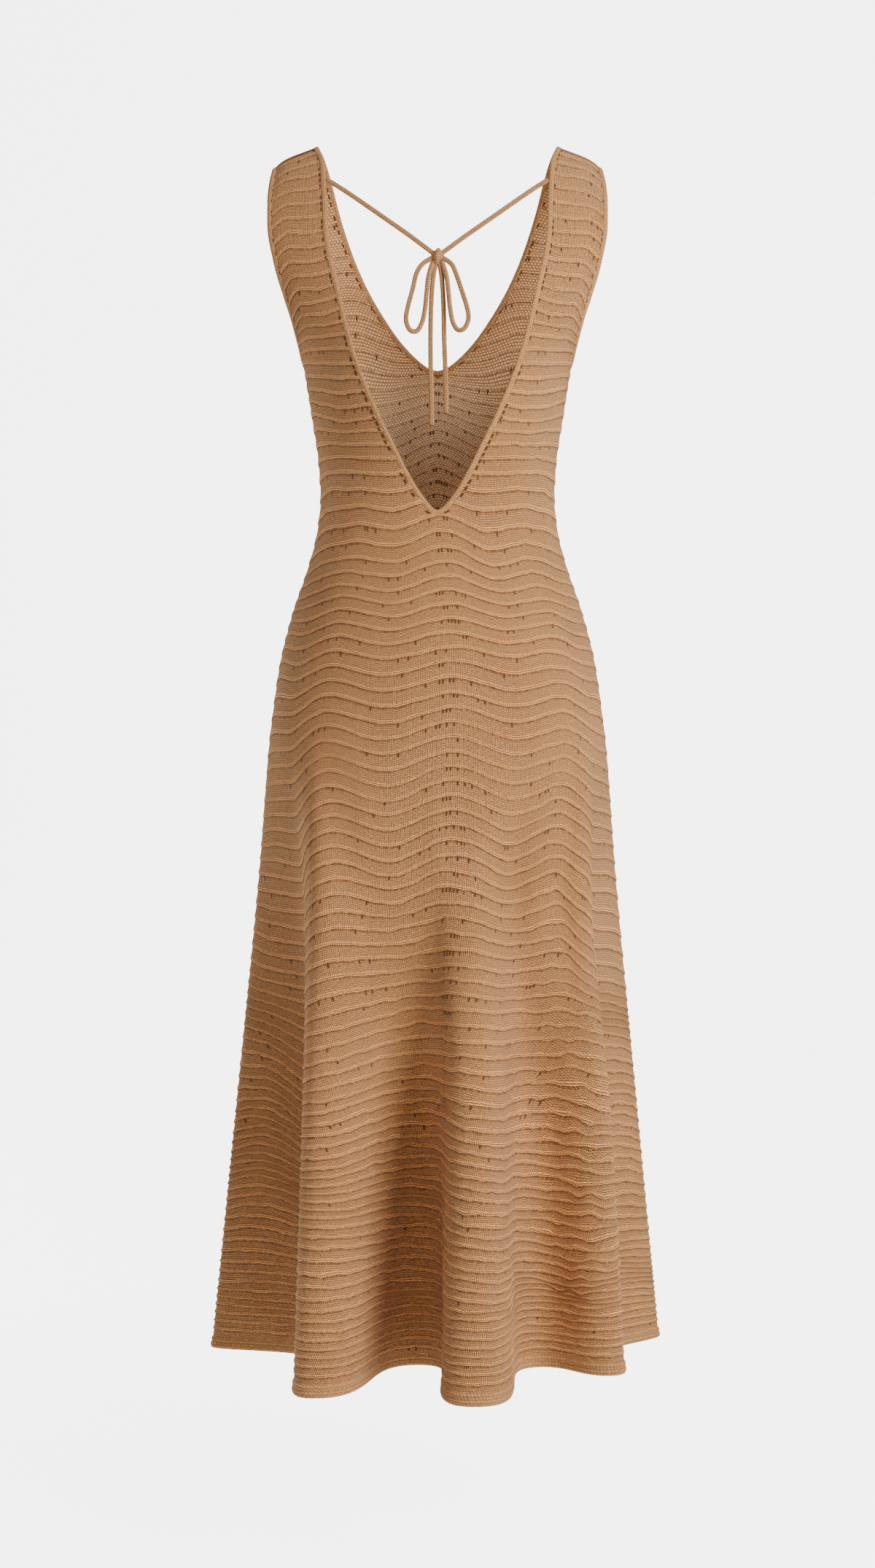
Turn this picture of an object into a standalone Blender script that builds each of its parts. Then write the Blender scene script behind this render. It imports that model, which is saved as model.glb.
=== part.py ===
"""Sleeveless midi sweater dress, in the hollow shape it has when worn.

Units are metres and +Z is up. The dress's back faces -Y. The origin is the middle of the
shoulder line, where the wearer's shoulders hold the dress up.

Every wall is a loft of rows. A row is one turn of the knitting: it has a level, which is its
height at the middle of the body, and it rises and dips along the knit's own waves.
"""
from bisect import bisect_right
from math import cos, radians, sin

import bmesh
import bpy
from mathutils import Vector

DRESS_NAME = "sweater_dress"

# Cloth. A wall is CLOTH thick between the welts, and a welt stands WELT proud of it.
CLOTH = 0.0015
WELT = 0.0017
SEAM_GAP = 0.0003
TRIM_GAP = 0.0004
TRIM_FOLLOWS = 0.00025
INSIDE_SETBACK = 0.0020     # the wrong side stops this far short of a neck or armhole edge

# Levels of the main stations, measured down from the shoulder line.
UNDERARM = -0.226
FOLD_START = -0.600
FOLDS_SET = -0.860
SMOOTH_ABOVE_FOLDS = 0.10   # the folds grow out of the body's slope over this height

# Rows of the plain wrong side: every how many rows of the right side, from each level down.
INSIDE_ROWS = [
    dict(level=0.000, every=2),
    dict(level=-0.060, every=4),
    dict(level=-0.155, every=2),
    dict(level=-0.180, every=1),
    dict(level=-0.222, every=2),
    dict(level=-0.235, every=4),
    dict(level=-0.370, every=2),
    dict(level=-0.395, every=4),
    dict(level=-0.485, every=1),
    dict(level=-0.515, every=4),
    dict(level=FOLDS_SET, every=6),
]

# The edges of the dress.
HEM_SEAM = -1.2235
HEM_EDGE = -1.2355
SHOULDER_DROP = 0.022
DROP_FADE = 0.120
BACK_NECK_POINT = -0.3872
FRONT_NECK_POINT = -0.2139
NECK_CLOSES = 0.02      # a V narrower than this share of the half ring has closed

# Trims: a rolled edge of chain stitches, as section points across the cloth's edge.
# across runs away from the cloth, out stands off the cloth's right side.
TRIM_SECTION = [
    dict(across=0.0000, out=-0.0013),
    dict(across=0.0000, out=0.0014),
    dict(across=0.0022, out=0.0024),
    dict(across=0.0042, out=0.0006),
    dict(across=0.0026, out=-0.0018),
]

# Hem band: two rows of chain stitch, as heights below its seam and how far each stands out.
HEM_PROFILE = [
    dict(down=0.00, out=0.0006),
    dict(down=0.25, out=0.0020),
    dict(down=0.50, out=0.0009),
    dict(down=0.75, out=0.0021),
    dict(down=1.00, out=0.0007),
]

# Body sections above the folds. edge_deg is how far round the half ring a panel reaches:
# 90 is the side seam, and less than that leaves the armhole open.
SECTIONS = [
    dict(level=0.000, width=0.1660, back=0.000, front=0.000, edge_deg=60),
    dict(level=-0.010, width=0.1670, back=0.014, front=0.012, edge_deg=58),
    dict(level=-0.025, width=0.1685, back=0.031, front=0.027, edge_deg=56),
    dict(level=-0.050, width=0.1695, back=0.052, front=0.049, edge_deg=54),
    dict(level=-0.085, width=0.1690, back=0.071, front=0.071, edge_deg=54),
    dict(level=-0.130, width=0.1620, back=0.088, front=0.092, edge_deg=57),
    dict(level=-0.180, width=0.1475, back=0.101, front=0.108, edge_deg=66),
    dict(level=-0.210, width=0.1403, back=0.106, front=0.115, edge_deg=76),
    dict(level=-0.221, width=0.1382, back=0.107, front=0.117, edge_deg=83),
    dict(level=UNDERARM, width=0.1373, back=0.108, front=0.118, edge_deg=90),
    dict(level=-0.280, width=0.1285, back=0.107, front=0.117, edge_deg=90),
    dict(level=-0.325, width=0.1220, back=0.101, front=0.108, edge_deg=90),
    dict(level=-0.360, width=0.1200, back=0.096, front=0.100, edge_deg=90),
    dict(level=-0.395, width=0.1235, back=0.095, front=0.098, edge_deg=90),
    dict(level=-0.430, width=0.1323, back=0.099, front=0.101, edge_deg=90),
    dict(level=-0.480, width=0.1490, back=0.109, front=0.107, edge_deg=90),
    dict(level=-0.530, width=0.1615, back=0.118, front=0.113, edge_deg=90),
    dict(level=-0.600, width=0.1715, back=0.126, front=0.119, edge_deg=90),
]

# V necks: half the opening's width at each level.
BACK_NECK = [
    dict(level=0.0000, half_gap=0.1265),
    dict(level=-0.0210, half_gap=0.1195),
    dict(level=-0.0600, half_gap=0.1158),
    dict(level=-0.1030, half_gap=0.1133),
    dict(level=-0.1660, half_gap=0.1006),
    dict(level=-0.2220, half_gap=0.0868),
    dict(level=-0.2760, half_gap=0.0668),
    dict(level=-0.3290, half_gap=0.0416),
    dict(level=-0.3550, half_gap=0.0283),
    dict(level=-0.3740, half_gap=0.0157),
    dict(level=-0.3840, half_gap=0.0065),
    dict(level=BACK_NECK_POINT, half_gap=0.0),
]
FRONT_NECK = [
    dict(level=0.0000, half_gap=0.1265),
    dict(level=-0.0110, half_gap=0.1210),
    dict(level=-0.0310, half_gap=0.1145),
    dict(level=-0.0600, half_gap=0.1065),
    dict(level=-0.0950, half_gap=0.0942),
    dict(level=-0.1310, half_gap=0.0775),
    dict(level=-0.1690, half_gap=0.0535),
    dict(level=-0.1885, half_gap=0.0378),
    dict(level=-0.2075, half_gap=0.0165),
    dict(level=-0.2120, half_gap=0.0080),
    dict(level=FRONT_NECK_POINT, half_gap=0.0),
]

# Waves of the knitting: how far a row stands above its level, at angles round the half ring
# from the middle (a0) to the side seam (a90).
WAVES = [
    dict(level=0.000, a0=0.000, a22=0.000, a44=0.000, a63=0.000, a77=0.000, a90=0.000),
    dict(level=-0.040, a0=-0.020, a22=-0.012, a44=0.000, a63=-0.001, a77=-0.002, a90=-0.003),
    dict(level=-0.160, a0=-0.020, a22=-0.014, a44=0.000, a63=-0.004, a77=-0.008, a90=-0.013),
    dict(level=-0.235, a0=-0.010, a22=-0.009, a44=-0.004, a63=0.001, a77=0.005, a90=0.008),
    dict(level=-0.275, a0=0.000, a22=-0.006, a44=-0.008, a63=0.000, a77=0.007, a90=0.011),
    dict(level=-0.330, a0=0.000, a22=-0.005, a44=-0.001, a63=0.002, a77=0.001, a90=0.000),
    dict(level=-0.415, a0=0.000, a22=-0.017, a44=-0.011, a63=-0.014, a77=-0.019, a90=-0.023),
    dict(level=-0.510, a0=0.000, a22=-0.010, a44=-0.003, a63=-0.007, a77=-0.012, a90=-0.019),
    dict(level=-0.610, a0=0.000, a22=-0.015, a44=-0.001, a63=-0.015, a77=-0.021, a90=-0.026),
    dict(level=-0.700, a0=0.002, a22=-0.016, a44=0.000, a63=-0.019, a77=-0.014, a90=-0.020),
    dict(level=-0.800, a0=0.002, a22=-0.012, a44=-0.001, a63=-0.019, a77=-0.006, a90=-0.017),
    dict(level=-0.900, a0=0.000, a22=-0.005, a44=-0.002, a63=-0.017, a77=-0.002, a90=-0.014),
    dict(level=-1.000, a0=0.000, a22=0.000, a44=-0.001, a63=-0.009, a77=0.000, a90=-0.009),
    dict(level=-1.100, a0=0.000, a22=0.000, a44=0.000, a63=-0.002, a77=0.000, a90=-0.003),
    dict(level=-1.180, a0=0.000, a22=0.000, a44=0.000, a63=0.000, a77=0.000, a90=0.000),
]
WAVE_ANGLES = [("a0", 0), ("a22", 22), ("a44", 44), ("a63", 63), ("a77", 77), ("a90", 90)]

# Pitch of the welts, from each level down.
WELT_PITCH = [
    dict(level=0.0000, pitch=0.0138),
    dict(level=-0.0400, pitch=0.0165),
    dict(level=-0.1900, pitch=0.0126),
    dict(level=-0.3900, pitch=0.0149),
    dict(level=-0.9500, pitch=0.0125),
    dict(level=-1.1500, pitch=0.0110),
]
FIRST_WELT = -0.0080
LAST_WELT = HEM_SEAM + 0.0060
VALLEY_SHARE = 0.38     # the hollow under a welt, as a share of the pitch

# Folds of the skirt, seen from above: each row is a crest or a trough of the hanging cloth,
# from the left seam to the right one. columns says how many columns of points make the turn:
# 1 lies on it, 2 lie beside it and 3 do both. deg is its place round the half ring, facing is
# the direction that the cloth runs in there, and round_ is how round the turn is.
# The three places are at the thigh, at the knee and at the hem.
THIGH = -0.750
KNEE = -0.980
LEFT_SEAM = dict(thigh=(-0.1840, 0.004), knee=(-0.2070, 0.008), hem=(-0.2330, 0.012))
RIGHT_SEAM = dict(thigh=(0.1840, 0.012), knee=(0.2070, 0.036), hem=(0.2330, 0.062))
BACK_FOLDS = [
    dict(columns=3, deg=-90, facing=-90, round_=0.45, **LEFT_SEAM),
    dict(columns=1, deg=-62, facing=-52, round_=0.90,
         thigh=(-0.1430, -0.048), knee=(-0.1300, -0.034), hem=(-0.1320, -0.030)),
    dict(columns=3, deg=-42, facing=0, round_=1.15,
         thigh=(-0.1000, -0.144), knee=(-0.1000, -0.174), hem=(-0.1060, -0.200)),
    dict(columns=2, deg=-10, facing=0, round_=1.10,
         thigh=(-0.0280, -0.143), knee=(-0.0190, -0.104), hem=(-0.0190, -0.068)),
    dict(columns=3, deg=10, facing=0, round_=1.20,
         thigh=(0.0290, -0.152), knee=(0.0340, -0.194), hem=(0.0350, -0.232)),
    dict(columns=2, deg=33, facing=0, round_=1.10,
         thigh=(0.0860, -0.121), knee=(0.1000, -0.094), hem=(0.1060, -0.076)),
    dict(columns=2, deg=55, facing=12, round_=1.25,
         thigh=(0.1320, -0.108), knee=(0.1510, -0.112), hem=(0.1640, -0.112)),
    dict(columns=1, deg=70, facing=58, round_=0.90,
         thigh=(0.1580, -0.045), knee=(0.1640, -0.024), hem=(0.1720, -0.006)),
    dict(columns=3, deg=90, facing=90, round_=0.45, **RIGHT_SEAM),
]
FRONT_FOLDS = [
    dict(columns=3, deg=-90, facing=90, round_=0.45, **LEFT_SEAM),
    dict(columns=1, deg=-64, facing=45, round_=0.90,
         thigh=(-0.1500, 0.052), knee=(-0.1450, 0.056), hem=(-0.1480, 0.060)),
    dict(columns=3, deg=-42, facing=0, round_=1.15,
         thigh=(-0.1080, 0.130), knee=(-0.1120, 0.164), hem=(-0.1200, 0.196)),
    dict(columns=2, deg=-20, facing=0, round_=1.10,
         thigh=(-0.0460, 0.138), knee=(-0.0520, 0.112), hem=(-0.0580, 0.086)),
    dict(columns=3, deg=0, facing=0, round_=1.15,
         thigh=(0.0100, 0.144), knee=(0.0060, 0.184), hem=(0.0020, 0.216)),
    dict(columns=2, deg=24, facing=0, round_=1.10,
         thigh=(0.0700, 0.129), knee=(0.0680, 0.106), hem=(0.0640, 0.086)),
    dict(columns=3, deg=46, facing=-4, round_=1.20,
         thigh=(0.1240, 0.112), knee=(0.1290, 0.150), hem=(0.1340, 0.184)),
    dict(columns=1, deg=66, facing=-45, round_=0.90,
         thigh=(0.1580, 0.062), knee=(0.1600, 0.082), hem=(0.1620, 0.102)),
    dict(columns=3, deg=90, facing=-90, round_=0.45, **RIGHT_SEAM),
]
TURN_SPREAD = 0.27      # columns beside a turn, as a share of the way to the next turn
BODICE_END = -0.500     # above this level the columns are spaced evenly
BODICE_STRIPS = 12
NECK_ROOM = 0.035       # a column this near to a neck edge, as a share, is left out
ARMHOLE_ROOM = 0.02     # the same at an armhole's edge

BACK = dict(name="back_panel", face=-1, depth="back", neck=BACK_NECK,
            neck_point=BACK_NECK_POINT, folds=BACK_FOLDS)
FRONT = dict(name="front_panel", face=1, depth="front", neck=FRONT_NECK,
             neck_point=FRONT_NECK_POINT, folds=FRONT_FOLDS)

# Tie: one cord from each shoulder strap to the bow at the middle of the open back.
CORD = 0.0037
KNOT_CENTRE = Vector((0.0, -0.0560, -0.1235))
KNOT_RADII = (0.0064, 0.0052, 0.0066)
TIE_ROUTES = {
    "tie_cord_left": [
        (-0.1117, -0.0398, -0.0426), (-0.0990, -0.0422, -0.0508), (-0.0845, -0.0450, -0.0610),
        (-0.0660, -0.0482, -0.0744), (-0.0470, -0.0514, -0.0883), (-0.0280, -0.0540, -0.1022),
        (-0.0140, -0.0555, -0.1130), (-0.0054, -0.0560, -0.1196),
    ],
    "tie_cord_right": [
        (0.1117, -0.0398, -0.0426), (0.0990, -0.0422, -0.0510), (0.0845, -0.0450, -0.0614),
        (0.0660, -0.0482, -0.0750), (0.0470, -0.0514, -0.0889), (0.0280, -0.0540, -0.1027),
        (0.0140, -0.0555, -0.1132), (0.0054, -0.0560, -0.1196),
    ],
    "tie_loop_left": [
        (-0.0071, -0.0568, -0.1249), (-0.0150, -0.0588, -0.1318), (-0.0212, -0.0606, -0.1420),
        (-0.0250, -0.0620, -0.1580), (-0.0298, -0.0628, -0.1760), (-0.0316, -0.0630, -0.1890),
        (-0.0276, -0.0628, -0.1988), (-0.0208, -0.0624, -0.1996), (-0.0155, -0.0618, -0.1910),
        (-0.0125, -0.0612, -0.1770), (-0.0108, -0.0602, -0.1600), (-0.0090, -0.0590, -0.1440),
        (-0.0064, -0.0579, -0.1302),
    ],
    "tie_loop_right": [
        (0.0072, -0.0568, -0.1248), (0.0140, -0.0588, -0.1318), (0.0186, -0.0606, -0.1420),
        (0.0240, -0.0620, -0.1580), (0.0296, -0.0628, -0.1760), (0.0310, -0.0630, -0.1880),
        (0.0266, -0.0628, -0.1974), (0.0200, -0.0624, -0.1982), (0.0152, -0.0618, -0.1900),
        (0.0126, -0.0612, -0.1760), (0.0110, -0.0602, -0.1600), (0.0090, -0.0590, -0.1440),
        (0.0065, -0.0580, -0.1309),
    ],
    "tie_tail_left": [
        (-0.0021, -0.0560, -0.1301), (-0.0036, -0.0558, -0.1400), (-0.0054, -0.0556, -0.1560),
        (-0.0066, -0.0554, -0.1800), (-0.0070, -0.0552, -0.2080), (-0.0068, -0.0550, -0.2360),
        (-0.0062, -0.0550, -0.2640), (-0.0058, -0.0550, -0.2935),
    ],
    "tie_tail_right": [
        (0.0021, -0.0560, -0.1301), (0.0036, -0.0558, -0.1400), (0.0052, -0.0556, -0.1560),
        (0.0062, -0.0554, -0.1800), (0.0068, -0.0552, -0.2080), (0.0078, -0.0550, -0.2340),
        (0.0086, -0.0550, -0.2600), (0.0084, -0.0550, -0.2815),
    ],
}
CORD_POINT_SPACING = 0.0105

FINISHES = {
    "knit": dict(color=(0.46, 0.27, 0.135, 1.0), roughness=0.92),
    "edge": dict(color=(0.44, 0.25, 0.122, 1.0), roughness=0.92),
    "cord": dict(color=(0.48, 0.28, 0.14, 1.0), roughness=0.88),
}


# ---------------------------------------------------------------- smooth tables

def smooth(xs, ys, x):
    """Value at x of a smooth curve through the points. xs rise; ends run on straight."""
    count = len(xs)
    slopes = []
    for i in range(count):
        a = max(i - 1, 0)
        b = min(i + 1, count - 1)
        left = (ys[i] - ys[a]) / (xs[i] - xs[a]) if i > a else None
        right = (ys[b] - ys[i]) / (xs[b] - xs[i]) if b > i else None
        if left is None:
            slopes.append(right)
        elif right is None:
            slopes.append(left)
        elif left * right <= 0.0:
            slopes.append(0.0)
        else:
            slopes.append(2.0 * left * right / (left + right))
    if x <= xs[0]:
        return ys[0] + slopes[0] * (x - xs[0])
    if x >= xs[-1]:
        return ys[-1] + slopes[-1] * (x - xs[-1])
    i = bisect_right(xs, x) - 1
    span = xs[i + 1] - xs[i]
    t = (x - xs[i]) / span
    return (ys[i] * (1 + 2 * t) * (1 - t) ** 2 + ys[i + 1] * t * t * (3 - 2 * t)
            + span * (slopes[i] * t * (1 - t) ** 2 - slopes[i + 1] * t * t * (1 - t)))


def column(table, key):
    """A table's levels and one of its columns, lowest level first."""
    rows = sorted(table, key=lambda row: row["level"])
    return [row["level"] for row in rows], [row[key] for row in rows]


SECTION_COLUMNS = {key: column(SECTIONS, key) for key in ("width", "back", "front", "edge_deg")}
WAVE_COLUMNS = [(angle, column(WAVES, key)) for key, angle in WAVE_ANGLES]


def section(key, level):
    lowest = SECTIONS[-1]["level"]
    return smooth(*SECTION_COLUMNS[key], max(level, lowest))


def wave(level, deg):
    """How far a row stands above its level, at an angle from the middle."""
    rises = [smooth(*table, level) for angle, table in WAVE_COLUMNS]
    return smooth([angle for angle, table in WAVE_COLUMNS], rises, abs(deg))


# ---------------------------------------------------------------- the dress's surface

def fold_ring(panel, deg, place):
    """Point of the folded skirt seen from above, at one of the three places."""
    folds = panel["folds"]
    i = 0
    while i < len(folds) - 2 and deg > folds[i + 1]["deg"]:
        i += 1
    start = folds[i]
    end = folds[i + 1]
    t = (deg - start["deg"]) / (end["deg"] - start["deg"])
    a = Vector(start[place])
    b = Vector(end[place])
    reach = (b - a).length
    run_a = Vector((cos(radians(start["facing"])), sin(radians(start["facing"]))))
    run_b = Vector((cos(radians(end["facing"])), sin(radians(end["facing"]))))
    run_a *= reach * start["round_"]
    run_b *= reach * end["round_"]
    return (a * (1 + 2 * t) * (1 - t) ** 2 + b * t * t * (3 - 2 * t)
            + run_a * t * (1 - t) ** 2 - run_b * t * t * (1 - t))


def body_ring(panel, deg, height):
    """Point of the smooth body seen from above. deg runs from -90 to 90 between the seams."""
    edge = section("edge_deg", height)
    angle = radians(deg * edge / 90.0)
    half_width = section("width", height) / sin(radians(edge))
    return Vector((half_width * sin(angle),
                   panel["face"] * section(panel["depth"], height) * cos(angle)))


def surface(panel, level, q):
    """Point of a panel's right side. q runs from -1 at the left edge to 1 at the right."""
    deg = 90.0 * q
    height = level + wave(level, deg)
    if height > FOLD_START:
        plan = body_ring(panel, deg, height)
    else:
        above = FOLD_START + SMOOTH_ABOVE_FOLDS
        heights = [HEM_EDGE, KNEE, THIGH, FOLD_START, above]
        rings = [fold_ring(panel, deg, "hem"), fold_ring(panel, deg, "knee"),
                 fold_ring(panel, deg, "thigh"), body_ring(panel, deg, FOLD_START),
                 body_ring(panel, deg, above)]
        plan = Vector((smooth(heights, [ring.x for ring in rings], height),
                       smooth(heights, [ring.y for ring in rings], height)))
    fade = max(0.0, 1.0 + level / DROP_FADE) ** 2
    inner = BACK_NECK[0]["half_gap"]
    outer = SECTIONS[0]["width"]
    drop = SHOULDER_DROP * fade * (abs(plan.x) - inner) / (outer - inner)
    return Vector((plan.x, plan.y + panel["face"] * SEAM_GAP / 2, height - drop))


def outward(panel, level, q):
    """The cloth's outward direction. Seams keep it in their own plane, so that edges meet."""
    step = 0.004
    q_low = max(q - step, -1.0)
    q_high = min(q + step, 1.0)
    along = surface(panel, level, q_high) - surface(panel, level, q_low)
    top = min(level + 0.001, 0.0)
    down = surface(panel, top - 0.002, q) - surface(panel, top, q)
    normal = along.cross(down).normalized() * panel["face"]
    at_shoulder = level == 0.0
    at_side_seam = abs(q) == 1.0 and level + wave(level, 90) <= UNDERARM
    if at_shoulder or at_side_seam:
        normal.y = 0.0
        normal.normalize()
    return normal


def neck_q(panel, level):
    """Where a row meets the V neck, as a q above 0, or 0 below the V."""
    levels, gaps = column(panel["neck"], "half_gap")
    if level + wave(level, 0) <= panel["neck_point"]:
        return 0.0
    low = 0.0
    high = 1.0
    for _ in range(40):
        middle = (low + high) / 2
        height = level + wave(level, 90 * middle)
        gap = smooth(levels, gaps, height) if height > levels[0] else 0.0
        if body_ring(panel, 90 * middle, height).x < gap:
            low = middle
        else:
            high = middle
    return high if high > NECK_CLOSES else 0.0


# ---------------------------------------------------------------- rows and columns

def welt_levels():
    """Levels of the welts' crests, from the shoulder to the hem."""
    levels = [FIRST_WELT]
    starts, pitches = column(WELT_PITCH, "pitch")
    while True:
        here = levels[-1]
        pitch = [p for start, p in zip(starts, pitches) if start >= here][0]
        if here - pitch < LAST_WELT:
            return levels
        levels.append(here - pitch)


def outer_rows():
    """(level, stand-off) of each row of the right side: crest, hollow, crest, hollow..."""
    crests = welt_levels()
    rows = [(0.0, 0.0)]
    for crest, following in zip(crests, crests[1:] + [HEM_SEAM]):
        rows.append((crest, WELT))
        rows.append((crest - VALLEY_SHARE * (crest - following), 0.0))
    rows.append((HEM_SEAM, 0.0))
    return rows


def inner_rows():
    """Levels of the plain wrong side: closer together where the body curves."""
    levels = [0.0]
    since = 1
    for level, _ in outer_rows()[1:-1]:
        every = [row["every"] for row in INSIDE_ROWS if row["level"] >= level][-1]
        since += 1
        if since >= every:
            levels.append(level)
            since = 0
    levels.append(HEM_SEAM)
    return levels


def column_places(panel, level):
    """q of each column: even round the bodice, and round each fold's turns in the skirt."""
    if level > BODICE_END:
        return [2.0 * i / BODICE_STRIPS - 1.0 for i in range(BODICE_STRIPS + 1)]
    folds = panel["folds"]
    places = []
    for i, fold in enumerate(folds):
        on_the_turn = fold["columns"] in (1, 3)
        beside_the_turn = fold["columns"] in (2, 3)
        if on_the_turn:
            places.append(fold["deg"] / 90.0)
        if beside_the_turn:
            for neighbour in folds[max(i - 1, 0):i] + folds[i + 1:i + 2]:
                reach = TURN_SPREAD * (neighbour["deg"] - fold["deg"])
                places.append((fold["deg"] + reach) / 90.0)
    return sorted(places)


def half_row(panel, level, side, setback):
    """q of a row's points on one side, from the outer edge in to the neck or the middle."""
    near = neck_q(panel, level)
    far = 1.0
    step = 0.01
    if near > 0.0:
        run = surface(panel, level, near + step) - surface(panel, level, near)
        near += setback * step / run.length
    if level + wave(level, 90) > UNDERARM:
        run = surface(panel, level, far) - surface(panel, level, far - step)
        far -= setback * step / run.length
    own = [abs(q) for q in column_places(panel, level) if q * side > 0]
    own = sorted((q for q in own if near + NECK_ROOM < q < far - ARMHOLE_ROOM), reverse=True)
    return [side * q for q in [far] + own + [near]]


# ---------------------------------------------------------------- building meshes

def stitch(mesh, row_a, row_b):
    """Fill between two rows of (place, vertex) with triangles; places fall along each row."""
    i = 0
    j = 0
    while i < len(row_a) - 1 or j < len(row_b) - 1:
        next_a = row_a[i + 1][0] if i < len(row_a) - 1 else None
        next_b = row_b[j + 1][0] if j < len(row_b) - 1 else None
        if next_b is None or (next_a is not None and next_a >= next_b):
            corners = (row_a[i][1], row_a[i + 1][1], row_b[j][1])
            i += 1
        else:
            corners = (row_a[i][1], row_b[j + 1][1], row_b[j][1])
            j += 1
        if len(set(corners)) == 3:
            mesh.faces.new(corners)


def finish(mesh, name, finish_name, collection):
    """Close a mesh off as an object of the dress."""
    bmesh.ops.recalc_face_normals(mesh, faces=mesh.faces)
    data = bpy.data.meshes.new(name)
    mesh.to_mesh(data)
    mesh.free()
    data.shade_smooth()
    data.materials.append(material(finish_name))
    item = bpy.data.objects.new(name, data)
    collection.objects.link(item)
    return item


def material(finish_name):
    found = bpy.data.materials.get(finish_name)
    if found:
        return found
    made = bpy.data.materials.new(finish_name)
    made.use_nodes = True
    shader = made.node_tree.nodes["Principled BSDF"]
    values = FINISHES[finish_name]
    shader.inputs["Base Color"].default_value = values["color"]
    shader.inputs["Roughness"].default_value = values["roughness"]
    shader.inputs["Metallic"].default_value = 0.0
    return made


def wall_side(mesh, panel, rows, side, middle, setback):
    """One half of a wall's right or wrong side. Returns its rows of (place, vertex)."""
    made = []
    for level, stand_off in rows:
        row = []
        for q in half_row(panel, level, side, setback):
            key = (level, stand_off)
            if q == 0.0 and key in middle:
                vertex = middle[key]
            else:
                point = surface(panel, level, q) + outward(panel, level, q) * stand_off
                vertex = mesh.verts.new(point)
                if q == 0.0:
                    middle[key] = vertex
            row.append((abs(q), vertex))
        made.append((level, row))
    for (_, upper), (_, lower) in zip(made, made[1:]):
        stitch(mesh, upper, lower)
    return made


def edge(rows, index):
    """The vertices at one end of each row, with the level as their place."""
    return [(level, row[index][1]) for level, row in rows]


def add_panel(panel, collection):
    """A knitted panel: welts on its right side, plain on its wrong side, open at neck and hem."""
    mesh = bmesh.new()
    outer_levels = outer_rows()
    inner_levels = [(level, -CLOTH) for level in inner_rows()]
    outer_middle = {}
    inner_middle = {}
    for side in (-1, 1):
        outer = wall_side(mesh, panel, outer_levels, side, outer_middle, 0.0)
        inner = wall_side(mesh, panel, inner_levels, side, inner_middle, INSIDE_SETBACK)
        stitch(mesh, edge(outer, 0), edge(inner, 0))
        for end in (0, -1):
            stitch(mesh, outer[end][1], inner[end][1])
        stitch(mesh, neck_edge(outer), neck_edge(inner))
    return finish(mesh, panel["name"], "knit", collection)


def neck_edge(rows):
    """Vertices along the V neck, down to the first one on the middle line."""
    kept = []
    for level, row in rows:
        place, vertex = row[-1]
        kept.append((level, vertex))
        if place == 0.0:
            break
    return kept


def add_trim(name, path, closed, collection):
    """A rolled trim swept beside an edge. path holds (point, outward, away from the cloth)."""
    mesh = bmesh.new()
    rings = []
    for point, out, away in path:
        ring = [mesh.verts.new(point + away * (TRIM_GAP + corner["across"]) + out * corner["out"])
                for corner in TRIM_SECTION]
        rings.append(ring)
    pairs = list(zip(rings, rings[1:]))
    if closed:
        pairs.append((rings[-1], rings[0]))
    for ring, following in pairs:
        for k in range(len(ring)):
            after = (k + 1) % len(ring)
            mesh.faces.new((ring[k], ring[after], following[after], following[k]))
    if not closed:
        mesh.faces.new(rings[0])
        mesh.faces.new(list(reversed(rings[-1])))
    bmesh.ops.triangulate(mesh, faces=[face for face in mesh.faces if len(face.verts) > 4])
    return finish(mesh, name, "edge", collection)


def framed(points, closed):
    """Turn (point, outward, towards the cloth) into a path with square directions."""
    path = []
    count = len(points)
    for i, (point, out, towards) in enumerate(points):
        before = points[i - 1][0] if closed or i > 0 else point
        after = points[(i + 1) % count][0] if closed or i < count - 1 else point
        run = (after - before).normalized()
        away = run.cross(out).normalized()
        if away.dot(towards) > 0:
            away = -away
        square_out = away.cross(run).normalized()
        if square_out.dot(out) < 0:
            square_out = -square_out
        path.append((point, square_out, away))
    return path


def thinned(points):
    """Drop the points that lie almost on the straight run between the ones that are kept."""
    kept = [0]
    for i in range(2, len(points)):
        start = points[kept[-1]][0]
        chord = (points[i][0] - start).normalized()
        skipped = [point - start for point, _, _ in points[kept[-1] + 1:i]]
        if max((gap - chord * gap.dot(chord)).length for gap in skipped) > TRIM_FOLLOWS:
            kept.append(i - 1)
    kept.append(len(points) - 1)
    return [points[i] for i in kept]


def neck_trim_path(panel):
    """Path of a V neck's trim, from the left shoulder round the V's point to the right one."""
    levels = [level for level, _ in outer_rows() if neck_q(panel, level) > 0.0]
    bottom = next(level for level, _ in outer_rows() if neck_q(panel, level) == 0.0)
    halves = []
    for side in (-1, 1):
        half = []
        for level in levels:
            q = neck_q(panel, level)
            point = surface(panel, level, side * q)
            towards = surface(panel, level, side * (q + 0.02)) - point
            half.append((point, outward(panel, level, side * q), towards))
        point = surface(panel, bottom, 0.0)
        towards = surface(panel, bottom - 0.004, 0.0) - point
        half.append((point, outward(panel, bottom, 0.0), towards))
        halves.append(thinned(half))
    path = framed(halves[0] + halves[1][-2::-1], False)
    for i, side in ((0, -1), (-1, 1)):
        out = outward(panel, 0.0, path[i][1].x / abs(path[i][1].x) * neck_q(panel, 0.0))
        path[i] = (path[i][0], out, Vector((-side * out.z, 0, side * out.x)))
    return path


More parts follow.
